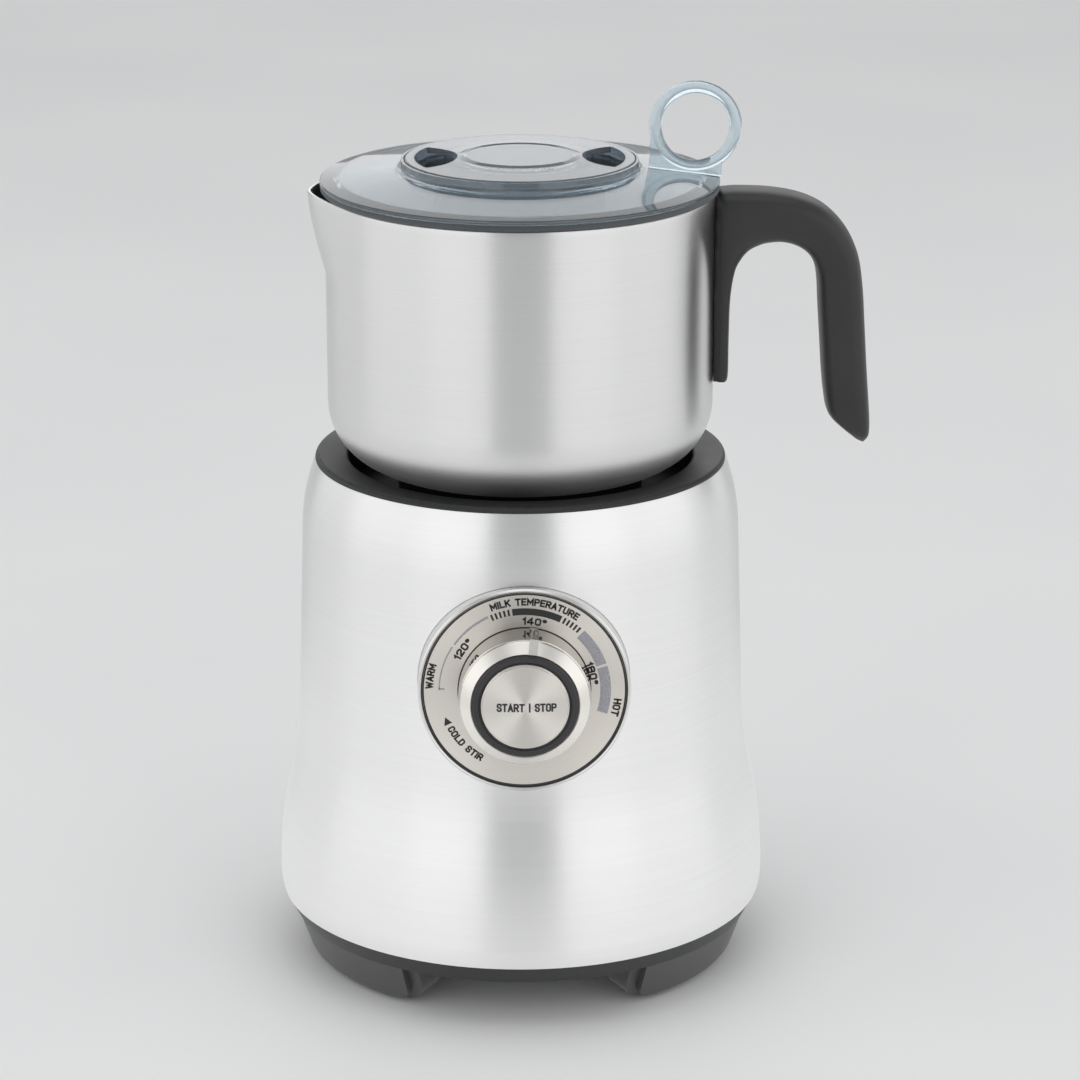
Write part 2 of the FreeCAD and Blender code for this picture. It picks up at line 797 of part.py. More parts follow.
def induction_heater():
    turns = [
        torus(f"turn_{layer}_{number}", S.coil_inner + S.coil_step * number, S.coil_wire,
              z=S.coil_lower + S.coil_step * layer)
        for layer in range(2)
        for number in range(3)
    ]
    keep(group("induction_coil", turns), "induction_coil")
    plate = cylinder("former_plate", S.former_outer, S.former_sheet, z=S.former_bottom)
    hole = cylinder("former_hole", S.former_inner, 6, z=S.former_bottom - 2)
    keep(cut("coil_former", plate, hole), "coil_former")
    bars = []
    for number, x, y in around(6, (S.former_inner + S.former_outer) / 2, 30):
        bar = block(f"ferrite_{number}", 7, 4, 2.6)
        turned = turn(bar, (0, 0, 1), 30 + 60 * number)
        angle = math.radians(30 + 60 * number)
        corner_x = x - 3.5 * math.cos(angle) + 2 * math.sin(angle)
        corner_y = y - 3.5 * math.sin(angle) - 2 * math.cos(angle)
        bars.append(move(turned, corner_x, corner_y, S.former_bottom - 2.7))
    keep(group("ferrite_bars", bars), "ferrite_bars")


def jug_sensor():
    bottom = S.sensor_top - S.sensor_length
    tip = cylinder("sensor_tip", S.sensor_radius, S.sensor_length, y=S.sensor_pitch, z=bottom)
    flange = cylinder("sensor_flange", S.sensor_radius + 0.6, 1.2, y=S.sensor_pitch, z=bottom)
    keep(fuse("sensor_cap", (tip, flange)), "sensor_cap")
    guide_bottom = bottom - S.sensor_travel - 4
    guide = cylinder("guide_wall", S.sensor_radius + 1.6, S.seat_top - S.well_sheet - guide_bottom - 0.2,
                     y=S.sensor_pitch, z=guide_bottom)
    bore = cylinder("guide_bore", S.sensor_radius + 0.9, 20, y=S.sensor_pitch, z=guide_bottom + 1)
    keep(cut("sensor_guide", guide, bore), "sensor_guide")
    spring_height = bottom - guide_bottom - 1
    outer = cylinder("spring_outside", 2.6, spring_height, y=S.sensor_pitch, z=guide_bottom + 1)
    inner = cylinder("spring_inside", 1.9, spring_height + 2, y=S.sensor_pitch, z=guide_bottom)
    keep(cut("sensor_spring", outer, inner), "sensor_spring")


def electronics():
    board_top = S.power_board_bottom + S.board_sheet
    keep(block("power_board", 64, 76, S.board_sheet, 0, -3, S.power_board_bottom), "power_board")
    stands = [cylinder(f"board_stand_{number}", 2.5, S.power_board_bottom - S.deck_bottom - S.deck_sheet,
                       26 * side_x, -3 + 32 * side_y, S.deck_bottom + S.deck_sheet)
              for number, (side_x, side_y) in enumerate(((1, 1), (-1, 1), (-1, -1), (1, -1)))]
    keep(group("board_standoffs", stands), "board_standoffs")
    cans = [cylinder(f"capacitor_{number}", 8, 26, x, -26, board_top) for number, x in enumerate((-20, -2))]
    keep(group("capacitors", cans), "capacitors")
    keep(torus("choke_coil", 9, 4, -16, 8, board_top + 4), "choke_coil")
    keep(block("mains_relay", 16, 20, 15, 20, -26, board_top), "mains_relay")
    fins = [block(f"fin_{number}", 30, 1.6, 22, 12, 2 + 5 * number, board_top + 2.5) for number in range(5)]
    keep(fuse("heat_sink", [block("sink_plate", 30, 23, 3, 12, 12, board_top), *fins]), "heat_sink")


def cooling_fan():
    frame_bottom = S.deck_bottom + S.deck_sheet
    axis_height = frame_bottom + S.fan_side / 2
    frame = block("fan_square", S.fan_side, S.fan_depth, S.fan_side, 0, S.fan_front + S.fan_depth / 2, frame_bottom)
    mouth = cylinder("fan_mouth", S.fan_blade_radius + 0.8, S.fan_depth + 2, 0, S.fan_front - 1, axis_height, "Y")
    arms = [
        block("fan_arm_across", S.fan_side - 1, 1.4, 5, 0, S.fan_front + S.fan_depth - 0.7, axis_height - 2.5),
        cylinder("fan_motor_plate", S.fan_hub_radius, 1.4, 0, S.fan_front + S.fan_depth - 1.4, axis_height, "Y"),
    ]
    keep(fuse("fan_frame", [cut("fan_open_square", frame, mouth), *arms]), "fan_frame")
    hub = cylinder("fan_hub", S.fan_hub_radius, S.fan_depth - 3, 0, S.fan_front + 0.8, axis_height, "Y")
    blades = []
    for number in range(7):
        blade = DOCUMENT.addObject("Part::Box", f"fan_blade_{number}")
        bind(blade, "Length", S.fan_depth - 5)
        bind(blade, "Width", 1.2)
        bind(blade, "Height", S.fan_blade_radius)
        pitch = FreeCAD.Rotation(FreeCAD.Vector(0, 0, 1), 55)
        around_axis = FreeCAD.Rotation(FreeCAD.Vector(0, 1, 0), 360 / 7 * number)
        blade.Placement.Rotation = around_axis.multiply(pitch)
        corner = around_axis.multVec(FreeCAD.Vector(-2, 0, 0))
        blades.append(move(blade, corner.x, S.fan_front + 1.8, axis_height + corner.z))
    keep(fuse("fan_impeller", [hub, *blades]), "fan_impeller")


# ---------------------------------------------------------------------------------------------------------------
# Jug
# ---------------------------------------------------------------------------------------------------------------
def spout_section(body, height, reach, radius):
    sketch = new_sketch(body, "XY_Plane", height)
    draw_circle(sketch, -reach + radius, 0, radius)
    return sketch


def spout(body, kind, inset, rise):
    """The lip pulled out of the wall opposite the handle, lofted through three round sections."""
    sections = [
        spout_section(body, S.spout_bottom, S.jug_radius - 1.0 - inset, 8 - inset),
        spout_section(body, (S.spout_bottom + S.jug_rim) / 2, S.spout_tip - 2.2 - inset, 12 - inset),
        spout_section(body, S.jug_rim + rise, S.spout_tip - inset, 15 - inset),
    ]
    loft = body.newObject(kind, f"{body.Name}_spout")
    loft.Profile = sections[0]
    loft.Sections = sections[1:]
    body.Tip = loft
    return loft


def jug_shell():
    floor = S.jug_bottom + S.jug_dish
    body = new_body("jug_shell")
    revolve(body, [
        (0, floor),
        (S.jug_dish_radius - 2, floor),
        (S.jug_dish_radius, S.jug_bottom),
        (S.jug_radius - S.jug_corner, S.jug_bottom),
        (S.jug_radius, S.jug_bottom + S.jug_corner, S.jug_corner),
        (S.jug_radius, S.jug_rim),
        (0, S.jug_rim),
    ])
    spout(body, "PartDesign::AdditiveLoft", 0, 0)
    inner = S.jug_radius - S.jug_wall
    corner = S.jug_corner - S.jug_wall
    revolve(body, [
        (0, floor + S.jug_wall),
        (inner - corner, floor + S.jug_wall),
        (inner, floor + S.jug_wall + corner, corner),
        (inner, S.jug_rim + 1),
        (0, S.jug_rim + 1),
    ], kind="PartDesign::Groove")
    spout(body, "PartDesign::SubtractiveLoft", S.jug_wall, 0.5)
    keep(body, "jug_shell")
    base = S.jug_bottom + S.jug_dish + S.jug_wall
    keep(cylinder("jug_spindle", S.spindle_radius, S.spindle_top - base, z=base), "jug_spindle")


def jug_handle():
    """An open hook: a strip down the jug, a top arm, and a grip that ends in a slanted tip."""
    body = new_body("jug_handle")
    side = new_sketch(body, "XZ_Plane")
    draw_outline(side, [
        (S.strip_inner, 185.4),
        (S.strip_outer, 185.4),
        (S.strip_outer + 0.4, 214.0),
        (79.0, 229.4, -17.5),
        (91.6, 217.0, -12.8),
        (94.2, 178.0),
        (104.6, 166.2),
        (108.7, 170.6, 4.2),
        (105.6, 219.0),
        (92.5, 240.6, 25.0),
        (76.0, 245.3, 38.0),
        (S.strip_inner, 245.75),
    ])
    extrude(body, side, S.handle_width, both_ways=True)
    round_edges(body, S.handle_round, edge_of_grip)
    for height in (192.0, 206.0):
        for radius, start in ((1.5, 60.0), (2.9, 62.8)):
            hole = new_sketch(body, "YZ_Plane", start)
            draw_circle(hole, 0, height, radius)
            extrude(body, hole, 3, kind="PartDesign::Pocket", reverse=True)
    keep(body, "jug_handle")


def edge_of_grip(edge):
    """True for the edges along the grip and the arm, on both sides, away from the jug's wall."""
    box = edge.BoundBox
    on_side = box.YLength < 0.01
    return on_side and box.XMin > SIZES["strip_outer"] + 1.0


def handle_bracket():
    strap = block("strap_blank", 3, S.handle_width - 5, 58, S.strip_inner - 1.55, 0, 187)
    wall = cylinder("strap_wall_room", S.jug_radius + 0.05, 80, z=180)
    holes = [cylinder(f"strap_hole_{number}", 1.5, 6, 58, 0, height, "X")
             for number, height in enumerate((192.0, 206.0))]
    keep(cut("handle_bracket", strap, wall, *holes), "handle_bracket")
    screws = []
    for number, height in enumerate((192.0, 206.0)):
        shank = cylinder(f"handle_shank_{number}", 1.4, 3, 59.9, 0, height, "X")
        head = cylinder(f"handle_head_{number}", 2.7, 1.2, 62.85, 0, height, "X")
        screws.append(fuse(f"handle_screw_{number}", (shank, head)))
    keep(group("handle_screws", screws), "handle_screws")


def frothing_disc():
    disc = cylinder("froth_plate", S.disc_radius, S.disc_sheet, z=S.disc_bottom)
    hub = cylinder("froth_hub", 6, 8, z=S.disc_bottom)
    bore = cylinder("froth_bore", S.spindle_radius + 0.1, 20, z=S.disc_bottom - 2)
    pockets, magnets = [], []
    for number, x, y in around(4, S.magnet_pitch + 3, 45):
        pockets.append(cylinder(f"froth_pocket_{number}", S.magnet_radius + 0.1, 2.6, x, y, S.disc_bottom - 0.2))
        magnets.append(cylinder(f"froth_magnet_{number}", S.magnet_radius, 2.2, x, y, S.disc_bottom))
    keep(cut("froth_carrier", fuse("froth_solid", (disc, hub)), bore, *pockets), "froth_carrier")
    keep(group("froth_magnets", magnets), "froth_magnets")
    post_bottom = S.disc_bottom + S.disc_sheet
    posts = [cylinder(f"whisk_post_{number}", 1.0, S.whisk_height - post_bottom, x, y, post_bottom)
             for number, x, y in around(8, S.whisk_radius)]
    hoop = torus("whisk_hoop", S.whisk_radius, S.whisk_wire, z=S.whisk_height)
    keep(fuse("whisk_ring", [hoop, *posts]), "whisk_ring")


# ---------------------------------------------------------------------------------------------------------------
# Lid and measuring cap
# ---------------------------------------------------------------------------------------------------------------
def lid():
    top = S.lid_edge
    turned_part("lid_panel", [
        (S.lid_radius - 0.6, S.seal_top),
        (S.lid_radius, S.seal_top + 0.6, 0.6),
        (S.lid_radius, top - 0.5),
        (S.lid_radius - 0.5, top, 0.5),
        (S.lid_radius - 4.5, top + 0.7),
        (S.lid_collar_radius + 1.2, top + S.lid_rise),
        (S.lid_collar_radius, top + S.lid_rise + 0.8, -1.4),
        (S.lid_collar_radius - 0.4, S.lid_collar_top),
        (S.cap_pocket_radius, S.lid_collar_top),
        (S.cap_pocket_radius, S.cap_rim - S.cap_sheet - 0.3),
        (S.lid_hole, S.cap_rim - S.cap_sheet - 0.3),
        (S.lid_hole, top + S.lid_rise - 2.5),
        (S.lid_collar_radius + 1.2, top + S.lid_rise - 2.3),
        (S.skirt_radius - 1.6, S.seal_top),
        (S.skirt_radius - 1.6, S.skirt_bottom),
        (S.skirt_radius, S.skirt_bottom),
        (S.skirt_radius, S.seal_top),
    ])
    turned_part("lid_seal", [
        (S.skirt_radius, S.seal_bottom - 5.5),
        (S.skirt_radius + 1.2, S.seal_bottom - 5.5),
        (S.skirt_radius + 1.7, S.seal_bottom - 4.6),
        (S.skirt_radius + 1.2, S.seal_bottom - 3.6),
        (S.skirt_radius + 1.2, S.seal_bottom),
        (S.lid_radius - 0.5, S.seal_bottom),
        (S.lid_radius - 0.1, S.seal_bottom + 0.5),
        (S.lid_radius - 0.6, S.seal_top),
        (S.skirt_radius, S.seal_top),
    ])


def pull_ring():
    """A round bar in a ring, standing on a thin foot that joins it to the lid."""
    bar_radius = (S.ring_outer - S.ring_inner) / 2
    pitch = S.ring_outer - bar_radius
    left = S.ring_centre - S.ring_outer
    lean = math.radians(-48)
    body = new_body("ring_foot")
    side = new_sketch(body, "XZ_Plane")
    draw_outline(side, [
        (left, S.lid_edge + S.lid_rise),
        (S.lid_radius - 4.5, S.lid_edge + 0.8),
        (S.ring_centre + S.ring_outer * math.cos(lean) - 1.5, S.lid_edge + 0.1),
        (S.ring_centre + pitch * math.cos(lean), S.ring_height + pitch * math.sin(lean)),
        (S.ring_centre, S.ring_height - pitch, -pitch),
        (S.ring_centre - pitch, S.ring_height, -pitch),
        (left + 0.5, S.ring_height - 1.0),
    ])
    extrude(body, side, S.ring_foot_thick, both_ways=True)
    bar = torus("ring_bar", pitch, bar_radius, S.ring_centre, 0, S.ring_height)
    turn(bar, (1, 0, 0), 90)
    keep(fuse("pull_ring", (body, bar)), "pull_ring")


def measuring_cap():
    under = S.cap_rim - S.cap_sheet
    shoulder = S.cap_dome_radius + 1.6
    body = new_body("cap_turning")
    revolve(body, [
        (0, under),
        (S.cup_radius - S.cup_wall, under),
        (S.cup_radius - S.cup_wall, S.cup_bottom),
        (S.cup_radius, S.cup_bottom),
        (S.cup_radius, under),
        (S.cap_radius, under),
        (S.cap_radius, S.cap_rim - 0.5),
        (S.cap_radius - 0.5, S.cap_rim, 0.5),
        (shoulder + 6, S.cap_rim + 0.2),
        (shoulder, S.cap_rim + 0.5),
        (S.cap_dome_radius, S.cap_dome),
        (S.cap_dome_radius - 1, S.cap_dome - 0.3),
        (0, S.cap_dome - 0.3),
    ])
    walls, rooms = [], []
    for name, side in (("right", 1), ("left", -1)):
        walls.append(finger_lens(f"{name}_finger_wall", side, 1.4, S.finger_depth + 1.4, S.cap_rim - 0.4))
        rooms.append(finger_lens(f"{name}_finger_room", side, 0.0, S.finger_depth + 3, S.cap_rim + 3))
    keep(cut("measuring_cap", fuse("cap_solid", [body, *walls]), *rooms), "measuring_cap")


def finger_lens(name, side, grow, depth, top):
    """The lens where a finger hole and the cap's round edge overlap, hanging down from top."""
    finger = cylinder(f"{name}_finger", S.finger_radius + grow, depth, S.finger_centre * side, 0, top - depth)
    limit = cylinder(f"{name}_limit", S.finger_limit + grow, depth, 0, 0, top - depth)
    feature = DOCUMENT.addObject("Part::Common", name)
    feature.Base = finger
    feature.Tool = limit
    return feature


# ---------------------------------------------------------------------------------------------------------------
# Build, check and write
# ---------------------------------------------------------------------------------------------------------------
def build():
    for make in (steel_body_shell, top_collar, jug_well, base_band, feet, rubber_feet, bottom_cover, cord_gland,
                 cover_screws, dial, temperature_knob, start_stop_button, inner_chassis, motor, drive_rotor,
                 induction_heater, jug_sensor, electronics, cooling_fan, jug_shell, jug_handle, handle_bracket,
                 frothing_disc, lid, pull_ring, measuring_cap):
        make()
    DOCUMENT.recompute()


def check():
    """Stops before anything is written if an object failed or a sub-part isn't sound."""
    for item in DOCUMENT.Objects:
        if "Invalid" in item.State or "Error" in item.State:
            raise RuntimeError(f"{item.Label} failed: {item.State}")
    for part in PARTS:
        if part.Shape.isNull() or not part.Shape.isValid() or not part.Shape.Solids:
            raise RuntimeError(f"{part.Label} has no sound shape")


def write():
    os.makedirs("parts", exist_ok=True)
    for part in PARTS:
        part.Shape.exportStep(f"parts/{part.Label}.step")
        box = part.Shape.optimalBoundingBox()
        print(f"{part.Label:18s} {len(part.Shape.Solids):2d} solid {part.Shape.Volume:10.0f} mm3"
              f"  x {box.XMin:6.1f} {box.XMax:6.1f}  y {box.YMin:6.1f} {box.YMax:6.1f}"
              f"  z {box.ZMin:6.1f} {box.ZMax:6.1f}")


build()
check()
write()
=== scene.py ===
"""Studio view of the milk frother: looks, and the pieces that need more shape than the frame's solids have.

Metres, in the frame's own axes: +X to the handle, -Y to the dial, +Z up, the floor at zero.
"""

import json
import math

import bmesh
import bpy
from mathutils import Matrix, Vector
from mathutils.bvhtree import BVHTree


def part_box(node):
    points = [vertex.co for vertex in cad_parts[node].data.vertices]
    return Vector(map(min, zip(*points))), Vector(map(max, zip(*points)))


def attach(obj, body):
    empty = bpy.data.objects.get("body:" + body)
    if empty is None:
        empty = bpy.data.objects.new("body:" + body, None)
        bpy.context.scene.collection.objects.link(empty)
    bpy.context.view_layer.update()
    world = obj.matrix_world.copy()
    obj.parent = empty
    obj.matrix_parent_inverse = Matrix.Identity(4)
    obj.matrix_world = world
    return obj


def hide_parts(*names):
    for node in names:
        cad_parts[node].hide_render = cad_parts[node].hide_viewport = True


MM = 0.001

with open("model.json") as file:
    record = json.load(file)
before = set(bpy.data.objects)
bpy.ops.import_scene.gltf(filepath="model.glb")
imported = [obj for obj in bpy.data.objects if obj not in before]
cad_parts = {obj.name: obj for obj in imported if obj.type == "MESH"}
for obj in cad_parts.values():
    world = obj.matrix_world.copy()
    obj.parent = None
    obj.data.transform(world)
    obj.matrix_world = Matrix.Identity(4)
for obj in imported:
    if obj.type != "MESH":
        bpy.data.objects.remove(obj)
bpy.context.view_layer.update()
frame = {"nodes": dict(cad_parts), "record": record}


# --------------------------------------------------------------------------------------------------
# Places and sizes, from the frame
# --------------------------------------------------------------------------------------------------
def middle(node):
    low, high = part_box(node)
    return (low + high) / 2


def radius_of(node, axis=0):
    low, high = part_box(node)
    return (high[axis] - low[axis]) / 2


DIAL_HEIGHT = middle("dial_bezel").z
PLATE_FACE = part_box("dial_plate")[0].y
PLATE_RADIUS = radius_of("dial_plate")
BUTTON_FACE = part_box("button_cap")[0].y
JUG_LOW, JUG_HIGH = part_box("jug_shell")
JUG_RADIUS = JUG_HIGH.y
JUG_BOTTOM, JUG_RIM = JUG_LOW.z, JUG_HIGH.z
SPOUT_REACH = -JUG_LOW.x - JUG_RADIUS
KNOB_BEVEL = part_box("knob_ring")[0].y + 3.1 * MM
KNOB_RADIUS = radius_of("knob_ring")


# --------------------------------------------------------------------------------------------------
# Materials
# --------------------------------------------------------------------------------------------------
class Look:
    """A material built on one Principled shader, with short calls for the nodes that feed it."""

    def __init__(self, name, colour, roughness, metallic=0.0, **own):
        self.material = bpy.data.materials.new(name)
        self.material.use_nodes = True
        self.tree = self.material.node_tree
        self.shader = self.tree.nodes["Principled BSDF"]
        self.set("Base Color", (*colour, 1.0))
        self.set("Roughness", roughness)
        self.set("Metallic", metallic)
        for socket, value in own.items():
            self.set(socket.replace("_", " "), value)
        self.height = None

    def set(self, socket, value):
        self.shader.inputs[socket].default_value = value

    def node(self, kind, **fields):
        made = self.tree.nodes.new(kind)
        for field, value in fields.items():
            setattr(made, field, value)
        return made

    def link(self, source, target):
        self.tree.links.new(source, target)

    def place(self, scale=(1, 1, 1)):
        """The point's place on the object, in metres, stretched by scale."""
        here = self.node("ShaderNodeTexCoord").outputs["Object"]
        mapping = self.node("ShaderNodeMapping")
        mapping.inputs["Scale"].default_value = scale
        self.link(here, mapping.inputs["Vector"])
        return mapping.outputs["Vector"]

    def math(self, operation, first, second=0.0):
        made = self.node("ShaderNodeMath", operation=operation)
        for socket, value in zip(made.inputs, (first, second)):
            if isinstance(value, (int, float)):
                socket.default_value = value
            else:
                self.link(value, socket)
        return made.outputs[0]

    def noise(self, vector, scale, detail=2.0, rough=0.5):
        made = self.node("ShaderNodeTexNoise")
        made.inputs["Scale"].default_value = scale
        made.inputs["Detail"].default_value = detail
        made.inputs["Roughness"].default_value = rough
        self.link(vector, made.inputs["Vector"])
        return made.outputs["Fac"]

    def span(self, value, low, high, start=0.0, end=1.0):
        """Takes start..end of value to low..high."""
        made = self.node("ShaderNodeMapRange")
        for socket, number in zip(("From Min", "From Max", "To Min", "To Max"), (start, end, low, high)):
            made.inputs[socket].default_value = number
        self.link(value, made.inputs["Value"])
        return made.outputs["Result"]

    def tint(self, value, dark, light, start=0.0, end=1.0):
        """Colours the surface from dark to light as value goes from start to end."""
        ramp = self.node("ShaderNodeValToRGB")
        ramp.color_ramp.elements[0].color = (*dark, 1.0)
        ramp.color_ramp.elements[1].color = (*light, 1.0)
        ramp.color_ramp.elements[0].position = start
        ramp.color_ramp.elements[1].position = end
        self.link(value, ramp.inputs["Fac"])
        self.link(ramp.outputs["Color"], self.shader.inputs["Base Color"])

    def bump(self, value, strength, depth):
        """Adds relief of that depth in metres; later calls add to earlier ones."""
        made = self.node("ShaderNodeBump")
        made.inputs["Strength"].default_value = strength
        made.inputs["Distance"].default_value = depth
        self.link(value, made.inputs["Height"])
        if self.height is not None:
            self.link(self.height, made.inputs["Normal"])
        self.height = made.outputs["Normal"]
        self.link(self.height, self.shader.inputs["Normal"])

    def rough(self, value, low, high, start=0.0, end=1.0):
        self.link(self.span(value, low, high, start, end), self.shader.inputs["Roughness"])

    def turned_about(self, axis):
        """Brushing runs round this axis, and highlights stretch across it."""
        tangent = self.node("ShaderNodeTangent", direction_type="RADIAL", axis=axis)
        self.link(tangent.outputs["Tangent"], self.shader.inputs["Tangent"])

    def rings(self, centre, axis, fine=6000.0):
        """Seamless turning marks about an axis through centre: noise that is fast along the radius only."""
        here = self.node("ShaderNodeTexCoord").outputs["Object"]
        moved = self.node("ShaderNodeVectorMath", operation="SUBTRACT")
        moved.inputs[1].default_value = centre
        self.link(here, moved.inputs[0])
        flat = self.node("ShaderNodeVectorMath", operation="MULTIPLY")
        flat.inputs[1].default_value = tuple(0.0 if n == axis else 1.0 for n in range(3))
        self.link(moved.outputs[0], flat.inputs[0])
        length = self.node("ShaderNodeVectorMath", operation="LENGTH")
        self.link(flat.outputs[0], length.inputs[0])
        slow = self.node("ShaderNodeVectorMath", operation="SCALE")
        slow.inputs["Scale"].default_value = 60.0
        self.link(flat.outputs[0], slow.inputs[0])
        joined = self.node("ShaderNodeCombineXYZ")
        self.link(self.math("MULTIPLY", length.outputs["Value"], fine), joined.inputs[0])
        total = self.node("ShaderNodeVectorMath", operation="ADD")
        self.link(joined.outputs[0], total.inputs[0])
        self.link(slow.outputs[0], total.inputs[1])
        return total.outputs[0]


def brushed_steel(name, colour, roughness=0.35, fine=5200.0, contrast=0.05, anisotropy=0.85):
    """Sheet brushed round the upright axis: fine lines, longer streaks, and a faint cloudiness."""
    look = Look(name, colour, roughness, 1.0, Anisotropic=anisotropy, Anisotropic_Rotation=0.25)
    look.turned_about("Z")
    lines = look.noise(look.place((7.0, 7.0, fine)), 1.0, 3.0, 0.65)
    streaks = look.noise(look.place((3.0, 3.0, 700.0)), 1.0, 2.0, 0.5)
    clouds = look.noise(look.place((9.0, 9.0, 14.0)), 1.0, 2.0, 0.5)
    mixed = look.math("ADD", look.math("MULTIPLY", lines, 0.75), look.math("MULTIPLY", streaks, 0.25))
    darker = tuple(channel * (1.0 - contrast) for channel in colour)
    lighter = tuple(min(1.0, channel * (1.0 + contrast * 0.4)) for channel in colour)
    look.tint(mixed, darker, lighter, 0.25, 0.75)
    wear = look.math("ADD", look.math("MULTIPLY", mixed, 0.6), look.math("MULTIPLY", clouds, 0.4))
    look.rough(wear, roughness - 0.03, roughness + 0.05, 0.3, 0.7)
    look.bump(lines, 0.03, 0.00002)
    return look.material


def moulded_plastic(name, colour, roughness=0.42, grain=2600.0, shine=0.5):
    """Moulded plastic with a fine spark-eroded grain and slightly uneven gloss."""
    look = Look(name, colour, roughness, 0.0, Specular_IOR_Level=shine)
    fine = look.noise(look.place(), grain, 2.0, 0.5)
    broad = look.noise(look.place(), 26.0, 3.0, 0.5)
    lighter = tuple(channel * 1.22 + 0.002 for channel in colour)
    look.tint(broad, tuple(channel * 0.86 for channel in colour), lighter, 0.3, 0.7)
    look.rough(broad, roughness - 0.05, roughness + 0.08, 0.3, 0.7)
    look.bump(fine, 0.25, 0.00003)
    return look.material


def clear_plastic(name, colour, roughness=0.03, clearness=1.0):
    """Clear moulded plastic with hair-fine handling marks; less clearness makes it milkier."""
    look = Look(name, colour, roughness, 0.0, Transmission_Weight=clearness, IOR=1.49)
    marks = look.noise(look.place((900.0, 60.0, 900.0)), 1.0, 2.0, 0.6)
    broad = look.noise(look.place(), 40.0, 2.0, 0.5)
    look.rough(broad, roughness, roughness + 0.05, 0.4, 0.75)
    look.bump(marks, 0.03, 0.00001)
    return look.material


def turned_metal(name, colour, centre, axis, roughness=0.2, anisotropy=0.7, contrast=0.08, strength=0.10):
    """Metal face with concentric turning marks about an axis (1 is front to back, 2 is upright)."""
    look = Look(name, colour, roughness, 1.0, Anisotropic=anisotropy, Anisotropic_Rotation=0.25)
    look.turned_about("XYZ"[axis])
    marks = look.noise(look.rings(centre, axis), 1.0, 2.0, 0.6)
    look.tint(marks, tuple(channel * (1 - contrast) for channel in colour), colour, 0.3, 0.7)
    look.rough(marks, roughness - 0.04, roughness + 0.07, 0.3, 0.7)
    look.bump(marks, strength, 0.00001)
    return look.material


def polished_metal(name, colour, roughness=0.05):
    look = Look(name, colour, roughness, 1.0)
    smears = look.noise(look.place(), 90.0, 3.0, 0.6)
    look.rough(smears, roughness, roughness + 0.06, 0.45, 0.8)
    look.tint(smears, tuple(channel * 0.95 for channel in colour), colour, 0.3, 0.7)
    return look.material


def knob_metal(name, colour, satin_and_shade_start, satin_and_shade_end):
    """Polished on the side and satin on the front bevel; it changes over between the two depths. The
    polished side's colour is painted darker, a painted shade for the darker reflection it shows.
    """
    look = Look(name, colour, 0.08, 1.0)
    smears = look.noise(look.place(), 120.0, 3.0, 0.6)
    parted = look.node("ShaderNodeSeparateXYZ")
    look.link(look.place(), parted.inputs[0])
    satin_and_shade = look.span(parted.outputs["Y"], 0.0, 1.0, satin_and_shade_start, satin_and_shade_end)
    gloss = look.math("ADD", look.math("MULTIPLY", satin_and_shade, 0.30), look.math("MULTIPLY", smears, 0.10))
    look.link(look.math("ADD", gloss, 0.03), look.shader.inputs["Roughness"])
    # Painted shade: the polished side is coloured 28% darker than the satin bevel.
    look.tint(satin_and_shade, tuple(channel * 0.72 for channel in colour), colour, 0.2, 0.8)
    return look.material


def printed_ink(name, colour):
    look = Look(name, colour, 0.55)
    speckle = look.noise(look.place(), 2400.0, 2.0, 0.6)
    darker = tuple(channel * 0.8 for channel in colour)
    lighter = tuple(min(1, channel * 1.25) for channel in colour)
    look.tint(speckle, darker, lighter, 0.3, 0.7)
    look.bump(speckle, 0.1, 0.00001)
    return look.material


def circuit_board(name):
    """Green solder mask over a faint net of tracks."""
    look = Look(name, (0.02, 0.10, 0.045), 0.3, 0.0, Coat_Weight=0.4)
    tracks = look.node("ShaderNodeTexBrick")
    tracks.inputs["Scale"].default_value = 160.0
    tracks.inputs["Mortar Size"].default_value = 0.03
    tracks.inputs["Color1"].default_value = (0.012, 0.075, 0.03, 1)
    tracks.inputs["Color2"].default_value = (0.018, 0.10, 0.04, 1)
    tracks.inputs["Mortar"].default_value = (0.05, 0.22, 0.09, 1)
    look.link(look.place(), tracks.inputs["Vector"])
    look.link(tracks.outputs["Color"], look.shader.inputs["Base Color"])
    look.bump(tracks.outputs["Fac"], 0.2, 0.00004)
    return look.material


def wound_copper(name):
    look = Look(name, (0.62, 0.26, 0.11), 0.3, 0.9, Coat_Weight=0.3)
    strands = look.noise(look.place((300.0, 300.0, 2600.0)), 1.0, 2.0, 0.6)
    look.tint(strands, (0.34, 0.12, 0.05), (0.72, 0.34, 0.16), 0.3, 0.7)
    look.bump(strands, 0.5, 0.0001)
    return look.material


def cast_metal(name, colour, roughness=0.35):
    look = Look(name, colour, roughness, 1.0)
    grain = look.noise(look.place(), 900.0, 3.0, 0.6)
    look.tint(grain, tuple(channel * 0.85 for channel in colour), colour, 0.3, 0.7)
    look.rough(grain, roughness - 0.08, roughness + 0.08, 0.3, 0.7)
    look.bump(grain, 0.15, 0.00003)
    return look.material


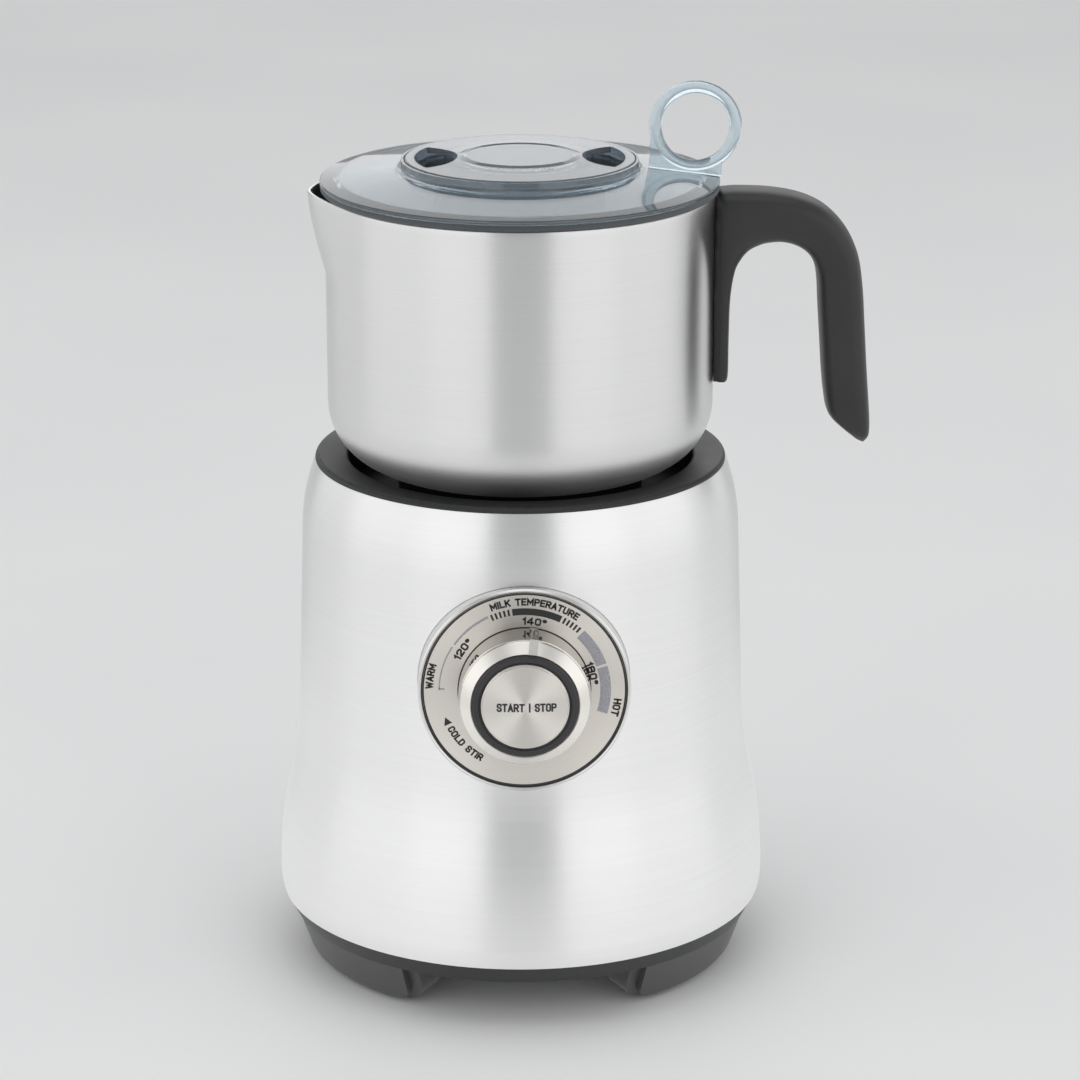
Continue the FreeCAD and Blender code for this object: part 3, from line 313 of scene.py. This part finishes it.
DIAL_CENTRE = (0.0, PLATE_FACE, DIAL_HEIGHT)
FRONT_TO_BACK = 1
# Depths where the knob changes from its polished side, painted darker as shade, to its satin bevel.
SATIN_AND_SHADE_START = KNOB_BEVEL + 0.3 * MM
SATIN_AND_SHADE_END = KNOB_BEVEL - 0.3 * MM
LOOKS = {
    "body_steel": brushed_steel("body_steel", (0.82, 0.82, 0.815), 0.36),
    "jug_steel": brushed_steel("jug_steel", (0.73, 0.73, 0.725), 0.33),
    "black_plastic": moulded_plastic("black_plastic", (0.018, 0.0185, 0.0195), 0.44, 2600.0, 0.36),
    "foot_plastic": moulded_plastic("foot_plastic", (0.046, 0.046, 0.048), 0.45),
    "handle_plastic": moulded_plastic("handle_plastic", (0.021, 0.021, 0.0215), 0.42, 3200.0, 0.42),
    "well_coating": moulded_plastic("well_coating", (0.008, 0.008, 0.0085), 0.5, 2600.0, 0.3),
    "dial_nickel": turned_metal("dial_nickel", (0.78, 0.745, 0.69), DIAL_CENTRE, FRONT_TO_BACK, 0.34, 0.9),
    "bezel_chrome": polished_metal("bezel_chrome", (0.72, 0.72, 0.71), 0.34),
    "knob_metal": knob_metal("knob_metal", (0.80, 0.775, 0.73), SATIN_AND_SHADE_START, SATIN_AND_SHADE_END),
    "button_metal": turned_metal("button_metal", (0.82, 0.79, 0.74), DIAL_CENTRE, FRONT_TO_BACK, 0.42, 0.96),
    "trim_black": moulded_plastic("trim_black", (0.022, 0.022, 0.024), 0.3),
    "pointer_silver": polished_metal("pointer_silver", (0.84, 0.83, 0.80), 0.22),
    "clear_lid": clear_plastic("clear_lid", (0.66, 0.77, 0.84), 0.03, 0.9),
    "cap_clear": clear_plastic("cap_clear", (0.46, 0.51, 0.56), 0.06, 0.8),
    "ring_clear": clear_plastic("ring_clear", (0.74, 0.85, 0.91), 0.02, 0.86),
    "seal_rubber": moulded_plastic("seal_rubber", (0.055, 0.062, 0.068), 0.5),
    "pad_rubber": moulded_plastic("pad_rubber", (0.02, 0.02, 0.02), 0.7, 1200.0),
    "inner_plastic": moulded_plastic("inner_plastic", (0.62, 0.61, 0.57), 0.45),
    "board_green": circuit_board("board_green"),
    "copper_wire": wound_copper("copper_wire"),
    "ferrite": moulded_plastic("ferrite", (0.04, 0.04, 0.045), 0.6, 1500.0),
    "motor_steel": cast_metal("motor_steel", (0.58, 0.58, 0.60)),
    "magnet_metal": polished_metal("magnet_metal", (0.66, 0.66, 0.68), 0.12),
    "sink_aluminium": cast_metal("sink_aluminium", (0.76, 0.77, 0.78), 0.3),
    "sleeve_black": moulded_plastic("sleeve_black", (0.02, 0.02, 0.05), 0.25),
    "relay_blue": moulded_plastic("relay_blue", (0.03, 0.10, 0.35), 0.3),
    "screw_steel": cast_metal("screw_steel", (0.62, 0.62, 0.62), 0.28),
    "bearing_bronze": cast_metal("bearing_bronze", (0.60, 0.42, 0.20), 0.4),
    "spring_steel": cast_metal("spring_steel", (0.55, 0.55, 0.57), 0.25),
}
# The black also paints the shadow rings at the plate's edge and round the knob's foot.
BLACK_INK_AND_SHADE = printed_ink("black_ink_and_painted_shade", (0.018, 0.018, 0.018))
INK_GREY = printed_ink("ink_grey", (0.33, 0.33, 0.36))
INK_LIGHT = printed_ink("ink_light", (0.62, 0.64, 0.66))

for part in frame["record"]["subparts"]:
    mesh = frame["nodes"][part["node"]].data
    mesh.materials.clear()
    mesh.materials.append(LOOKS[part["material_slot"]])


# --------------------------------------------------------------------------------------------------
# Mesh helpers
# --------------------------------------------------------------------------------------------------
def finish_piece(name, mesh_data, material, body, smooth=True):
    """Closes up a piece's normals, gives it its material, and lets it ride on its body."""
    mesh = bpy.data.meshes.new(name)
    mesh_data.normal_update()
    bmesh.ops.recalc_face_normals(mesh_data, faces=mesh_data.faces)
    mesh_data.to_mesh(mesh)
    mesh_data.free()
    for face in mesh.polygons:
        face.use_smooth = smooth
    mesh.materials.append(material)
    piece = bpy.data.objects.new(name, mesh)
    bpy.context.scene.collection.objects.link(piece)
    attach(piece, body)
    return piece


def skin(rows):
    """A closed mesh through rows of points, each row a ring; a fan closes the first and the last."""
    made = bmesh.new()
    rings = [[made.verts.new(point) for point in row] for row in rows]
    count = len(rings[0])
    for lower, upper in zip(rings, rings[1:]):
        for n in range(count):
            after = (n + 1) % count
            made.faces.new((lower[n], lower[after], upper[after], upper[n]))
    for ring in (rings[0], rings[-1]):
        centre = sum((vertex.co for vertex in ring), Vector()) / count
        tip = made.verts.new(centre)
        for n in range(count):
            made.faces.new((ring[n], ring[(n + 1) % count], tip))
    return made


def smooth_through(stations, steps):
    """Catmull-Rom curve through stations, each a tuple of numbers, with steps pieces between neighbours."""
    padded = [stations[0]] + list(stations) + [stations[-1]]
    curve = []
    for a, b, c, d in zip(padded, padded[1:], padded[2:], padded[3:]):
        for step in range(steps):
            t = step / steps
            curve.append(tuple(
                0.5 * (2 * q + (r - p) * t + (2 * p - 5 * q + 4 * r - s) * t * t
                       + (3 * q - p - 3 * r + s) * t ** 3)
                for p, q, r, s in zip(a, b, c, d)
            ))
    curve.append(tuple(stations[-1]))
    return curve


def arc_points(centre, radius, start, end, count):
    """Points (x, y) on an arc between two angles in degrees."""
    points = []
    for n in range(count + 1):
        angle = math.radians(start + (end - start) * n / count)
        points.append((centre[0] + radius * math.cos(angle), centre[1] + radius * math.sin(angle)))
    return points


# --------------------------------------------------------------------------------------------------
# Jug: one sheet of steel with a pulled lip
# --------------------------------------------------------------------------------------------------
JUG_SHEET = 1.0 * MM
JUG_CORNER = 20.0 * MM
JUG_DISH = 2.0 * MM
JUG_DISH_RADIUS = 30.0 * MM
SPOUT_DEPTH = 25.0 * MM
SPOUT_HALF_ANGLE = math.radians(27)
MIDDLE_RING = 0.002
WALL_ROWS = 40
JUG_AROUND = 288


def spout_push(angle, height):
    """How far the lip is pulled out of the round wall, at an angle from +X and a height."""
    away = abs(math.atan2(math.sin(angle - math.pi), math.cos(angle - math.pi)))
    share = max(0.0, 1.0 - away / SPOUT_HALF_ANGLE)
    across = share * share * (3 - 2 * share) * 0.55 + share ** 1.25 * 0.45
    depth = min(1.0, max(0.0, (JUG_RIM - height) / SPOUT_DEPTH))
    return SPOUT_REACH * across * (1.0 - depth ** 1.6)


def jug_profile():
    """(radius, height) from the middle of the underside, up and over the rim, to the inner floor."""
    corner_centre = (JUG_RADIUS - JUG_CORNER, JUG_BOTTOM + JUG_CORNER)
    points = [(MIDDLE_RING, JUG_BOTTOM + JUG_DISH), (JUG_DISH_RADIUS - 2.5 * MM, JUG_BOTTOM + JUG_DISH)]
    points += [(JUG_DISH_RADIUS - 1.2 * MM, JUG_BOTTOM + 1.2 * MM), (JUG_DISH_RADIUS, JUG_BOTTOM)]
    points += arc_points(corner_centre, JUG_CORNER, -90, 0, 18)
    wall_start = points[-1][1]
    rim_radius = JUG_SHEET / 2
    wall = JUG_RIM - rim_radius - wall_start
    points += [(JUG_RADIUS, wall_start + wall * n / WALL_ROWS) for n in range(1, WALL_ROWS)]
    points += arc_points((JUG_RADIUS - rim_radius, JUG_RIM - rim_radius), rim_radius, 0, 180, 8)
    inner = JUG_RADIUS - JUG_SHEET
    floor = JUG_BOTTOM + JUG_DISH + JUG_SHEET
    inner_corner = JUG_CORNER - JUG_SHEET
    top = JUG_RIM - rim_radius
    points += [(inner, top + (floor + inner_corner - top) * n / WALL_ROWS) for n in range(1, WALL_ROWS)]
    points += arc_points((inner - inner_corner, floor + inner_corner), inner_corner, 0, -90, 14)
    points += [(inner - inner_corner - 8 * MM, floor), (MIDDLE_RING, floor)]
    return points


def build_jug():
    rows = []
    for radius, height in jug_profile():
        row = []
        for n in range(JUG_AROUND):
            angle = 2 * math.pi * n / JUG_AROUND
            push = spout_push(angle, height) if radius > JUG_RADIUS * 0.9 else 0.0
            row.append(((radius + push) * math.cos(angle), (radius + push) * math.sin(angle), height))
        rows.append(row)
    jug = finish_piece("jug_steel_wall", skin(rows), LOOKS["jug_steel"], "jug")
    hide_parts("jug_shell")


build_jug()


# --------------------------------------------------------------------------------------------------
# Handle: a strip down the jug, a top arm, and a grip with a slanted tip
# --------------------------------------------------------------------------------------------------
# Each station, in mm: x, z on the outer outline, x, z on the inner outline, and half the width.
HANDLE_STATIONS = [
    (60.4, 186.0, 63.2, 185.7, 6.6),
    (59.9, 187.6, 64.2, 187.6, 8.3),
    (59.9, 200.0, 64.3, 199.0, 8.9),
    (59.9, 214.0, 64.6, 212.0, 9.2),
    (59.9, 228.0, 65.9, 220.4, 9.5),
    (59.9, 237.5, 67.8, 224.2, 9.7),
    (60.2, 244.3, 70.0, 226.7, 9.8),
    (63.4, 245.5, 72.6, 228.2, 9.9),
    (69.5, 245.6, 75.6, 229.2, 9.9),
    (77.5, 245.1, 80.4, 229.5, 9.9),
    (86.0, 243.4, 85.2, 228.1, 9.9),
    (93.4, 239.9, 88.8, 225.2, 9.8),
    (99.6, 233.7, 90.8, 221.0, 9.7),
    (103.5, 226.0, 91.6, 216.0, 9.6),
    (105.3, 216.0, 92.0, 209.5, 9.5),
    (106.3, 203.0, 92.8, 198.5, 9.5),
    (107.2, 190.0, 93.6, 187.5, 9.5),
    (108.2, 178.0, 94.6, 179.0, 9.5),
    (108.6, 171.4, 95.8, 174.6, 9.4),
    (108.3, 168.0, 99.4, 171.0, 8.8),
    (107.0, 166.1, 103.4, 167.7, 6.6),
]
STRIP_BACK = 60.6
WALL_CLEAR = 59.85
STRIP_LEAST = 59.32
HANDLE_AROUND = 56
HANDLE_SQUARENESS = 3.6


def against_jug(point):
    """Hollows the back of the strip to the jug's round wall."""
    if point.x < STRIP_BACK:
        point.x = max(STRIP_LEAST, math.sqrt(WALL_CLEAR ** 2 - point.y ** 2))
    return point


def build_handle():
    rows = []
    for outer_x, outer_z, inner_x, inner_z, half_width in smooth_through(HANDLE_STATIONS, 6):
        outer, inner = Vector((outer_x, 0, outer_z)), Vector((inner_x, 0, inner_z))
        centre, reach = (outer + inner) / 2, (outer - inner) / 2
        row = []
        for n in range(HANDLE_AROUND):
            angle = 2 * math.pi * n / HANDLE_AROUND
            c, s = math.cos(angle), math.sin(angle)
            along = math.copysign(abs(c) ** (2 / HANDLE_SQUARENESS), c)
            across = math.copysign(abs(s) ** (2 / HANDLE_SQUARENESS), s)
            point = centre + reach * along + Vector((0, half_width * across, 0))
            row.append(against_jug(point) * MM)
        rows.append(row)
    look = LOOKS["handle_plastic"]
    handle = finish_piece("handle_moulding", skin(rows), look, "jug")
    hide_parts("jug_handle", "handle_bracket")


build_handle()


# --------------------------------------------------------------------------------------------------
# Dial: printed scale and lettering, and painted shadow rings at the plate's edge and round the knob
# --------------------------------------------------------------------------------------------------
INK_PROUD = 0.05 * MM
INK_SUNK = 0.01 * MM
SECTOR_STEP = 1.5


def dial_point(angle, radius, proud):
    """A point that far in front of the plate; degrees run clockwise from the top, seen from the front."""
    turned = math.radians(angle)
    return Vector((radius * math.sin(turned), PLATE_FACE - proud, DIAL_HEIGHT + radius * math.cos(turned)))


def print_and_shade_sector(name, start, end, inner, outer, material, outer_end=None):
    """A sector between two angles and radii, drawn as print for the scale and as painted shadow for the gap
    rings; outer_end lets it taper towards its end.
    """
    steps = max(1, int(abs(end - start) / SECTOR_STEP))
    last = outer if outer_end is None else outer_end
    rows = []
    for n in range(steps + 1):
        share = n / steps
        angle = start + (end - start) * share
        far = outer + (last - outer) * share
        rows.append([
            dial_point(angle, inner, -INK_SUNK),
            dial_point(angle, far, -INK_SUNK),
            dial_point(angle, far, INK_PROUD),
            dial_point(angle, inner, INK_PROUD),
        ])
    finish_piece(name, skin(rows), material, "power_base", smooth=False)


# Letters as strokes on a grid one unit high. A stroke whose last point is its first is closed.
ROUND = ((0.13, 0), (0.39, 0), (0.52, 0.14), (0.52, 0.86), (0.39, 1), (0.13, 1), (0, 0.86), (0, 0.14),
         (0.13, 0))
BOWL = ((0, 0), (0, 1), (0.4, 1), (0.52, 0.88), (0.52, 0.6), (0.4, 0.48), (0, 0.48))
OPEN = ((0.13, 0), (0.38, 0), (0.5, 0.14))
LETTERS = {
    "A": [((0, 0), (0.28, 1), (0.56, 0)), ((0.1, 0.3), (0.46, 0.3))],
    "C": [((0.5, 0.76), (0.5, 0.86), (0.38, 1), (0.13, 1), (0, 0.86), (0, 0.14), *OPEN, (0.5, 0.24))],
    "D": [((0, 0), (0.36, 0), (0.52, 0.16), (0.52, 0.84), (0.36, 1), (0, 1), (0, 0))],
    "E": [((0.48, 1), (0, 1), (0, 0), (0.48, 0)), ((0, 0.52), (0.42, 0.52))],
    "G": [((0.5, 0.76), (0.5, 0.86), (0.38, 1), (0.13, 1), (0, 0.86), (0, 0.14), *OPEN, (0.5, 0.48),
           (0.28, 0.48))],
    "H": [((0, 0), (0, 1)), ((0.52, 0), (0.52, 1)), ((0, 0.52), (0.52, 0.52))],
    "I": [((0, 0), (0, 1))],
    "K": [((0, 0), (0, 1)), ((0.52, 1), (0.03, 0.42)), ((0.2, 0.58), (0.55, 0))],
    "L": [((0, 1), (0, 0), (0.46, 0))],
    "M": [((0, 0), (0, 1), (0.35, 0.3), (0.7, 1), (0.7, 0))],
    "N": [((0, 0), (0, 1), (0.52, 0), (0.52, 1))],
    "O": [ROUND],
    "P": [BOWL],
    "R": [BOWL, ((0.28, 0.48), (0.54, 0))],
    "S": [((0.5, 0.78), (0.5, 0.87), (0.38, 1), (0.12, 1), (0, 0.88), (0, 0.66), (0.1, 0.55),
           (0.4, 0.45), (0.5, 0.34), (0.5, 0.12), (0.38, 0), (0.12, 0), (0, 0.13), (0, 0.22))],
    "T": [((0, 1), (0.54, 1)), ((0.27, 1), (0.27, 0))],
    "U": [((0, 1), (0, 0.14), (0.13, 0), (0.4, 0), (0.53, 0.14), (0.53, 1))],
    "W": [((0, 1), (0.18, 0), (0.39, 0.8), (0.6, 0), (0.78, 1))],
    "0": [ROUND],
    "1": [((0, 0.8), (0.17, 1), (0.17, 0))],
    "2": [((0, 0.78), (0, 0.88), (0.12, 1), (0.42, 1), (0.54, 0.88), (0.54, 0.62), (0, 0.1), (0, 0),
           (0.54, 0))],
    "4": [((0.42, 0), (0.42, 1), (0, 0.32), (0, 0.26), (0.58, 0.26))],
    "8": [((0.1, 0.53), (0, 0.64), (0, 0.88), (0.12, 1), (0.42, 1), (0.54, 0.88), (0.54, 0.64), (0.44, 0.53),
           (0.1, 0.53)),
          ((0.1, 0.53), (0, 0.42), (0, 0.12), (0.12, 0), (0.42, 0), (0.54, 0.12), (0.54, 0.42), (0.44, 0.53),
           (0.1, 0.53))],
    "°": [((0.08, 0.7), (0.2, 0.7), (0.28, 0.78), (0.28, 0.94), (0.2, 1.02), (0.08, 1.02), (0, 0.94),
           (0, 0.78), (0.08, 0.7))],
    "|": [((0, -0.06), (0, 1.06))],
    " ": [],
}
LETTER_GAP = 0.30
SPACE_WIDTH = 0.28
LONGEST_STRETCH = 0.4 * MM
BAR_CORNERS = ((1, 0), (-1, 0), (-1, 1), (1, 1))


def split_long(points, longest):
    """Adds points along a bent line, so that a long stretch can follow a curved face."""
    line = [points[0]]
    for start, end in zip(points, points[1:]):
        count = max(1, math.ceil(math.dist(start, end) / longest))
        line += [tuple(a + (b - a) * n / count for a, b in zip(start, end)) for n in range(1, count)]
        line.append(end)
    return line


def stroke_rows(points, half):
    """Cross-sections of a flat bar along a bent line: four points each, left and right, low and high."""
    closed = points[0] == points[-1]
    line = [Vector(point) for point in points]
    if closed:
        line = line[:-1]
    rows = []
    for n, here in enumerate(line):
        before = line[n - 1] if n or closed else None
        after = line[(n + 1) % len(line)] if n + 1 < len(line) or closed else None
        ahead = (after - here).normalized() if after is not None else (here - before).normalized()
        behind = (here - before).normalized() if before is not None else ahead
        middle_way = (ahead + behind).normalized()
        side = Vector((-middle_way.y, middle_way.x))
        reach = min(half / max(0.35, middle_way.dot(ahead)), half * 2.2)
        start = here - ahead * half if before is None else here
        spot = start + behind * half if after is None else start
        rows.append([(spot + side * reach * across, depth) for across, depth in BAR_CORNERS])
    if closed:
        rows.append(rows[0])
    return rows, closed


def lettering(words, height, length, weight=0.24):
    """Flat strokes for a line of capitals: x along it, centred; y up from its foot; z is 0, or 1 on top."""
    pieces, pen = [], 0.0
    for letter in words:
        strokes = LETTERS[letter]
        wide = max((x for stroke in strokes for x, _ in stroke), default=SPACE_WIDTH)
        pieces += [(pen, stroke) for stroke in strokes]
        pen += wide + LETTER_GAP
    total = pen - LETTER_GAP
    across = length / total
    made = bmesh.new()
    for start, stroke in pieces:
        moved = []
        for x, y in stroke:
            moved.append(((start + x - total / 2) * across, (weight / 2 + y * (1 - weight)) * height))
        rows, closed = stroke_rows(split_long(moved, LONGEST_STRETCH), weight * height / 2)
        rings = [[made.verts.new((spot.x, spot.y, depth)) for spot, depth in row]
                 for row in (rows[:-1] if closed else rows)]
        if closed:
            rings.append(rings[0])
        for lower, upper in zip(rings, rings[1:]):
            for n in range(4):
                made.faces.new((lower[n], lower[(n + 1) % 4], upper[(n + 1) % 4], upper[n]))
        if not closed:
            made.faces.new(rings[0][::-1])
            made.faces.new(rings[-1])
    return made


def ink_depth(share):
    """How far the print stands out: sunk a little at share 0, so that no gap shows, and proud at 1."""
    return -INK_SUNK + share * (INK_PROUD + INK_SUNK)


def dial_text(name, words, angle, radius, height, length, below=False):
    """Lettering bent round the dial, its middle at radius; below turns it over, to read from beneath."""
    made = lettering(words, height, length)
    for vertex in made.verts:
        across, up, depth = vertex.co
        rise = up - height / 2
        if below:
            turned, away = angle - math.degrees(across / radius), radius - rise
        else:
            turned, away = angle + math.degrees(across / radius), radius + rise
        vertex.co = dial_point(turned, away, ink_depth(depth))
    finish_piece(name, made, BLACK_INK_AND_SHADE, "power_base", smooth=False)


def ink_triangle(name, corners, material):
    """A printed triangle through three (angle, radius) corners."""
    made = bmesh.new()
    low, high = (
        [made.verts.new(dial_point(angle, radius * MM, ink_depth(depth))) for angle, radius in corners]
        for depth in (0, 1)
    )
    made.faces.new(low)
    made.faces.new(high[::-1])
    for n in range(3):
        made.faces.new((low[n], low[(n + 1) % 3], high[(n + 1) % 3], high[n]))
    finish_piece(name, made, material, "power_base", smooth=False)


def build_scale_and_shade_rings():
    bar_in, bar_out = 23.8 * MM, 25.9 * MM
    tick_in, tick_out = bar_in + 0.1 * MM, bar_out - 0.05 * MM
    tick_pitch, tick_width = 2.95, 1.45
    print_and_shade_sector("scale_bar", -8.3, 26.0, bar_in, bar_out, BLACK_INK_AND_SHADE)
    for n in range(5):
        for name, first in (("scale_tick_left", -23.3), ("scale_tick_right", 27.8)):
            start = first + tick_pitch * n
            print_and_shade_sector(f"{name}_{n}", start, start + tick_width, tick_in, tick_out, BLACK_INK_AND_SHADE)
    print_and_shade_sector("scale_warm_upper", -25.0, -55.0, 25.15 * MM, 25.95 * MM, INK_GREY, outer_end=25.75 * MM)
    print_and_shade_sector("scale_warm_lower", -57.0, -89.0, 25.3 * MM, 25.8 * MM, INK_GREY, outer_end=25.65 * MM)
    print_and_shade_sector("scale_warm_stop", -87.9, -89.2, 23.9 * MM, 25.65 * MM, INK_GREY)
    print_and_shade_sector("scale_hot_upper", 43.6, 71.0, 22.7 * MM, 25.9 * MM, INK_GREY)
    print_and_shade_sector("scale_hot_lower", 72.8, 107.0, 22.7 * MM, 25.9 * MM, INK_GREY)
    ink_triangle("scale_cold_mark", [(-109.4, 25.2), (-115.0, 26.5), (-115.0, 23.9)], BLACK_INK_AND_SHADE)
    dial_text("text_temperature", "MILK TEMPERATURE", 7.0, 27.9 * MM, 2.3 * MM, 27.0 * MM)
    dial_text("text_120", "120°", -54.5, 22.6 * MM, 2.4 * MM, 6.6 * MM)
    dial_text("text_140", "140°", 8.0, 21.9 * MM, 2.3 * MM, 6.6 * MM)
    dial_text("text_180", "180°", 75.5, 21.0 * MM, 2.4 * MM, 6.6 * MM)
    dial_text("text_warm", "WARM", -80.5, 28.5 * MM, 2.3 * MM, 7.4 * MM)
    dial_text("text_hot", "HOT", 101.5, 28.1 * MM, 2.4 * MM, 5.0 * MM)
    dial_text("text_cold_stir", "COLD STIR", -133.5, 25.0 * MM, 2.3 * MM, 13.6 * MM, below=True)
    # Painted shadow: the black rings at the plate's edge and round the knob's foot stand for the shadow gaps
    # there, not for print.
    edge_in, edge_out = PLATE_RADIUS - 0.55 * MM, PLATE_RADIUS - 0.05 * MM
    knob_in, knob_out = KNOB_RADIUS - 0.3 * MM, KNOB_RADIUS + 0.22 * MM
    for name, start in (("right", 0.0), ("left", 180.0)):
        print_and_shade_sector(f"plate_edge_shadow_{name}", start, start + 180, edge_in, edge_out, BLACK_INK_AND_SHADE)
        print_and_shade_sector(f"knob_shadow_{name}", start, start + 180, knob_in, knob_out, BLACK_INK_AND_SHADE)


def skin_of(node):
    """The node's surface as a search tree, to lay thin print on it."""
    piece = frame["nodes"][node]
    spots = [piece.matrix_world @ vertex.co for vertex in piece.data.vertices]
    return BVHTree.FromPolygons(spots, [tuple(face.vertices) for face in piece.data.polygons])


def build_button_text():
    height = 2.6 * MM
    face = skin_of("button_cap")
    made = lettering("START | STOP", height, 17.2 * MM, 0.2)
    for vertex in made.verts:
        across, up, depth = vertex.co
        start = Vector((across + 0.4 * MM, BUTTON_FACE - 5 * MM, DIAL_HEIGHT + up - height / 2))
        spot = face.ray_cast(start, Vector((0, 1, 0)))[0]
        vertex.co = spot - Vector((0, ink_depth(depth), 0))
    finish_piece("button_lettering", made, BLACK_INK_AND_SHADE, "start_stop_button", smooth=False)


def build_cap_text():
    """Faint raised wording on the cap's web, round the front of its middle disc."""
    radius, height = 20.6 * MM, 2.2 * MM
    face = skin_of("measuring_cap")
    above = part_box("measuring_cap")[1].z + 5 * MM
    made = lettering("MEASURING CAP", height, 21.0 * MM, 0.15)
    for vertex in made.verts:
        across, up, depth = vertex.co
        angle = across / radius
        away = radius - (up - height / 2)
        start = Vector((away * math.sin(angle), -away * math.cos(angle), above))
        spot = face.ray_cast(start, Vector((0, 0, -1)))[0]
        vertex.co = spot + Vector((0, 0, ink_depth(depth)))
    finish_piece("cap_lettering", made, INK_LIGHT, "cap", smooth=False)


build_scale_and_shade_rings()
build_button_text()
build_cap_text()


# --------------------------------------------------------------------------------------------------
# Floor, lights and camera
# --------------------------------------------------------------------------------------------------
FLOOR_HALF = 8.0
PANEL_DISTANCE = 1.5
PANEL_LOW, PANEL_HIGH = 0.02, 1.3
# Each panel's name, the two angles it spans to either side of the front, and its radiance.
PANELS = (("front", 17, 55, 0.99), ("side", 55, 100, 0.84), ("rear", 100, 140, 0.55))


def build_floor():
    look = Look("floor_paint", (0.86, 0.86, 0.86), 0.65)
    look.tint(look.noise(look.place(), 3.0, 2.0, 0.5), (0.84, 0.84, 0.845), (0.88, 0.88, 0.88), 0.3, 0.7)
    mesh = bpy.data.meshes.new("floor")
    corners = [(FLOOR_HALF * x, FLOOR_HALF * y, 0) for x, y in ((-1, -1), (1, -1), (1, 1), (-1, 1))]
    mesh.from_pydata(corners, [], [(0, 1, 2, 3)])
    mesh.materials.append(look.material)
    floor = bpy.data.objects.new("floor", mesh)
    bpy.context.scene.collection.objects.link(floor)


def panel(name, place, aim, width, height, radiance):
    """A soft box of that radiance, which lights the object but isn't seen itself."""
    light = bpy.data.lights.new(name, "AREA")
    light.shape = "RECTANGLE"
    light.size, light.size_y = width, height
    light.energy = math.pi * width * height * radiance
    lamp = bpy.data.objects.new(name, light)
    lamp.location = place
    lamp.rotation_euler = (Vector(aim) - Vector(place)).to_track_quat("-Z", "Y").to_euler()
    lamp.visible_camera = False
    bpy.context.scene.collection.objects.link(lamp)


def wall_panel(name, start, end, distance, low, high, radiance):
    """An upright soft box between two angles seen from the object: degrees to the right of the front."""
    half, middle_angle = math.radians(end - start) / 2, math.radians(start + end) / 2
    away = distance * math.cos(half)
    height = (low + high) / 2
    place = (away * math.sin(middle_angle), -away * math.cos(middle_angle), height)
    panel(name, place, (0, 0, height), 2 * distance * math.sin(half), high - low, radiance)


def build_lights():
    world = bpy.data.worlds.new("studio")
    world.use_nodes = True
    world.node_tree.nodes["Background"].inputs["Color"].default_value = (0.93, 0.94, 0.95, 1)
    world.node_tree.nodes["Background"].inputs["Strength"].default_value = 0.46
    bpy.context.scene.world = world
    for name, side in (("left", -1), ("right", 1)):
        for place, near, far, radiance in PANELS:
            start, end = sorted((near * side, far * side))
            wall_panel(f"{place}_{name}", start, end, PANEL_DISTANCE, PANEL_LOW, PANEL_HIGH, radiance)
    wall_panel("back", 155, 205, 3.2, 0.45, 2.2, 0.95)
    panel("top", (0, -0.1, 1.7), (0, 0, 0), 1.2, 1.2, 1.0)
    panel("table_glow", (0, 0, 0.002), (0, 0, 1), 0.66, 0.66, 0.2)
    bpy.data.lights["table_glow"].shape = "DISK"


CAMERA_DISTANCE = 1.2
CAMERA_ELEVATION = math.radians(17.6)
CAMERA_AZIMUTH = math.radians(-1.2)
CAMERA_LENS = 127.2
AIM_HEIGHT = 0.133
AIM_RIGHT = 0.00613


def build_camera():
    flat = math.cos(CAMERA_ELEVATION)
    towards = Vector((
        math.sin(CAMERA_AZIMUTH) * flat,
        -math.cos(CAMERA_AZIMUTH) * flat,
        math.sin(CAMERA_ELEVATION),
    ))
    right = Vector((math.cos(CAMERA_AZIMUTH), math.sin(CAMERA_AZIMUTH), 0))
    aim = Vector((0, 0, AIM_HEIGHT)) + right * AIM_RIGHT
    data = bpy.data.cameras.new("camera")
    data.sensor_width = 36.0
    data.lens = CAMERA_LENS
    camera = bpy.data.objects.new("camera", data)
    camera.location = aim + towards * CAMERA_DISTANCE
    camera.rotation_euler = (-towards).to_track_quat("-Z", "Y").to_euler()
    bpy.context.scene.collection.objects.link(camera)
    bpy.context.scene.camera = camera


build_floor()
build_lights()
build_camera()
bpy.context.scene.view_settings.view_transform = "Standard"
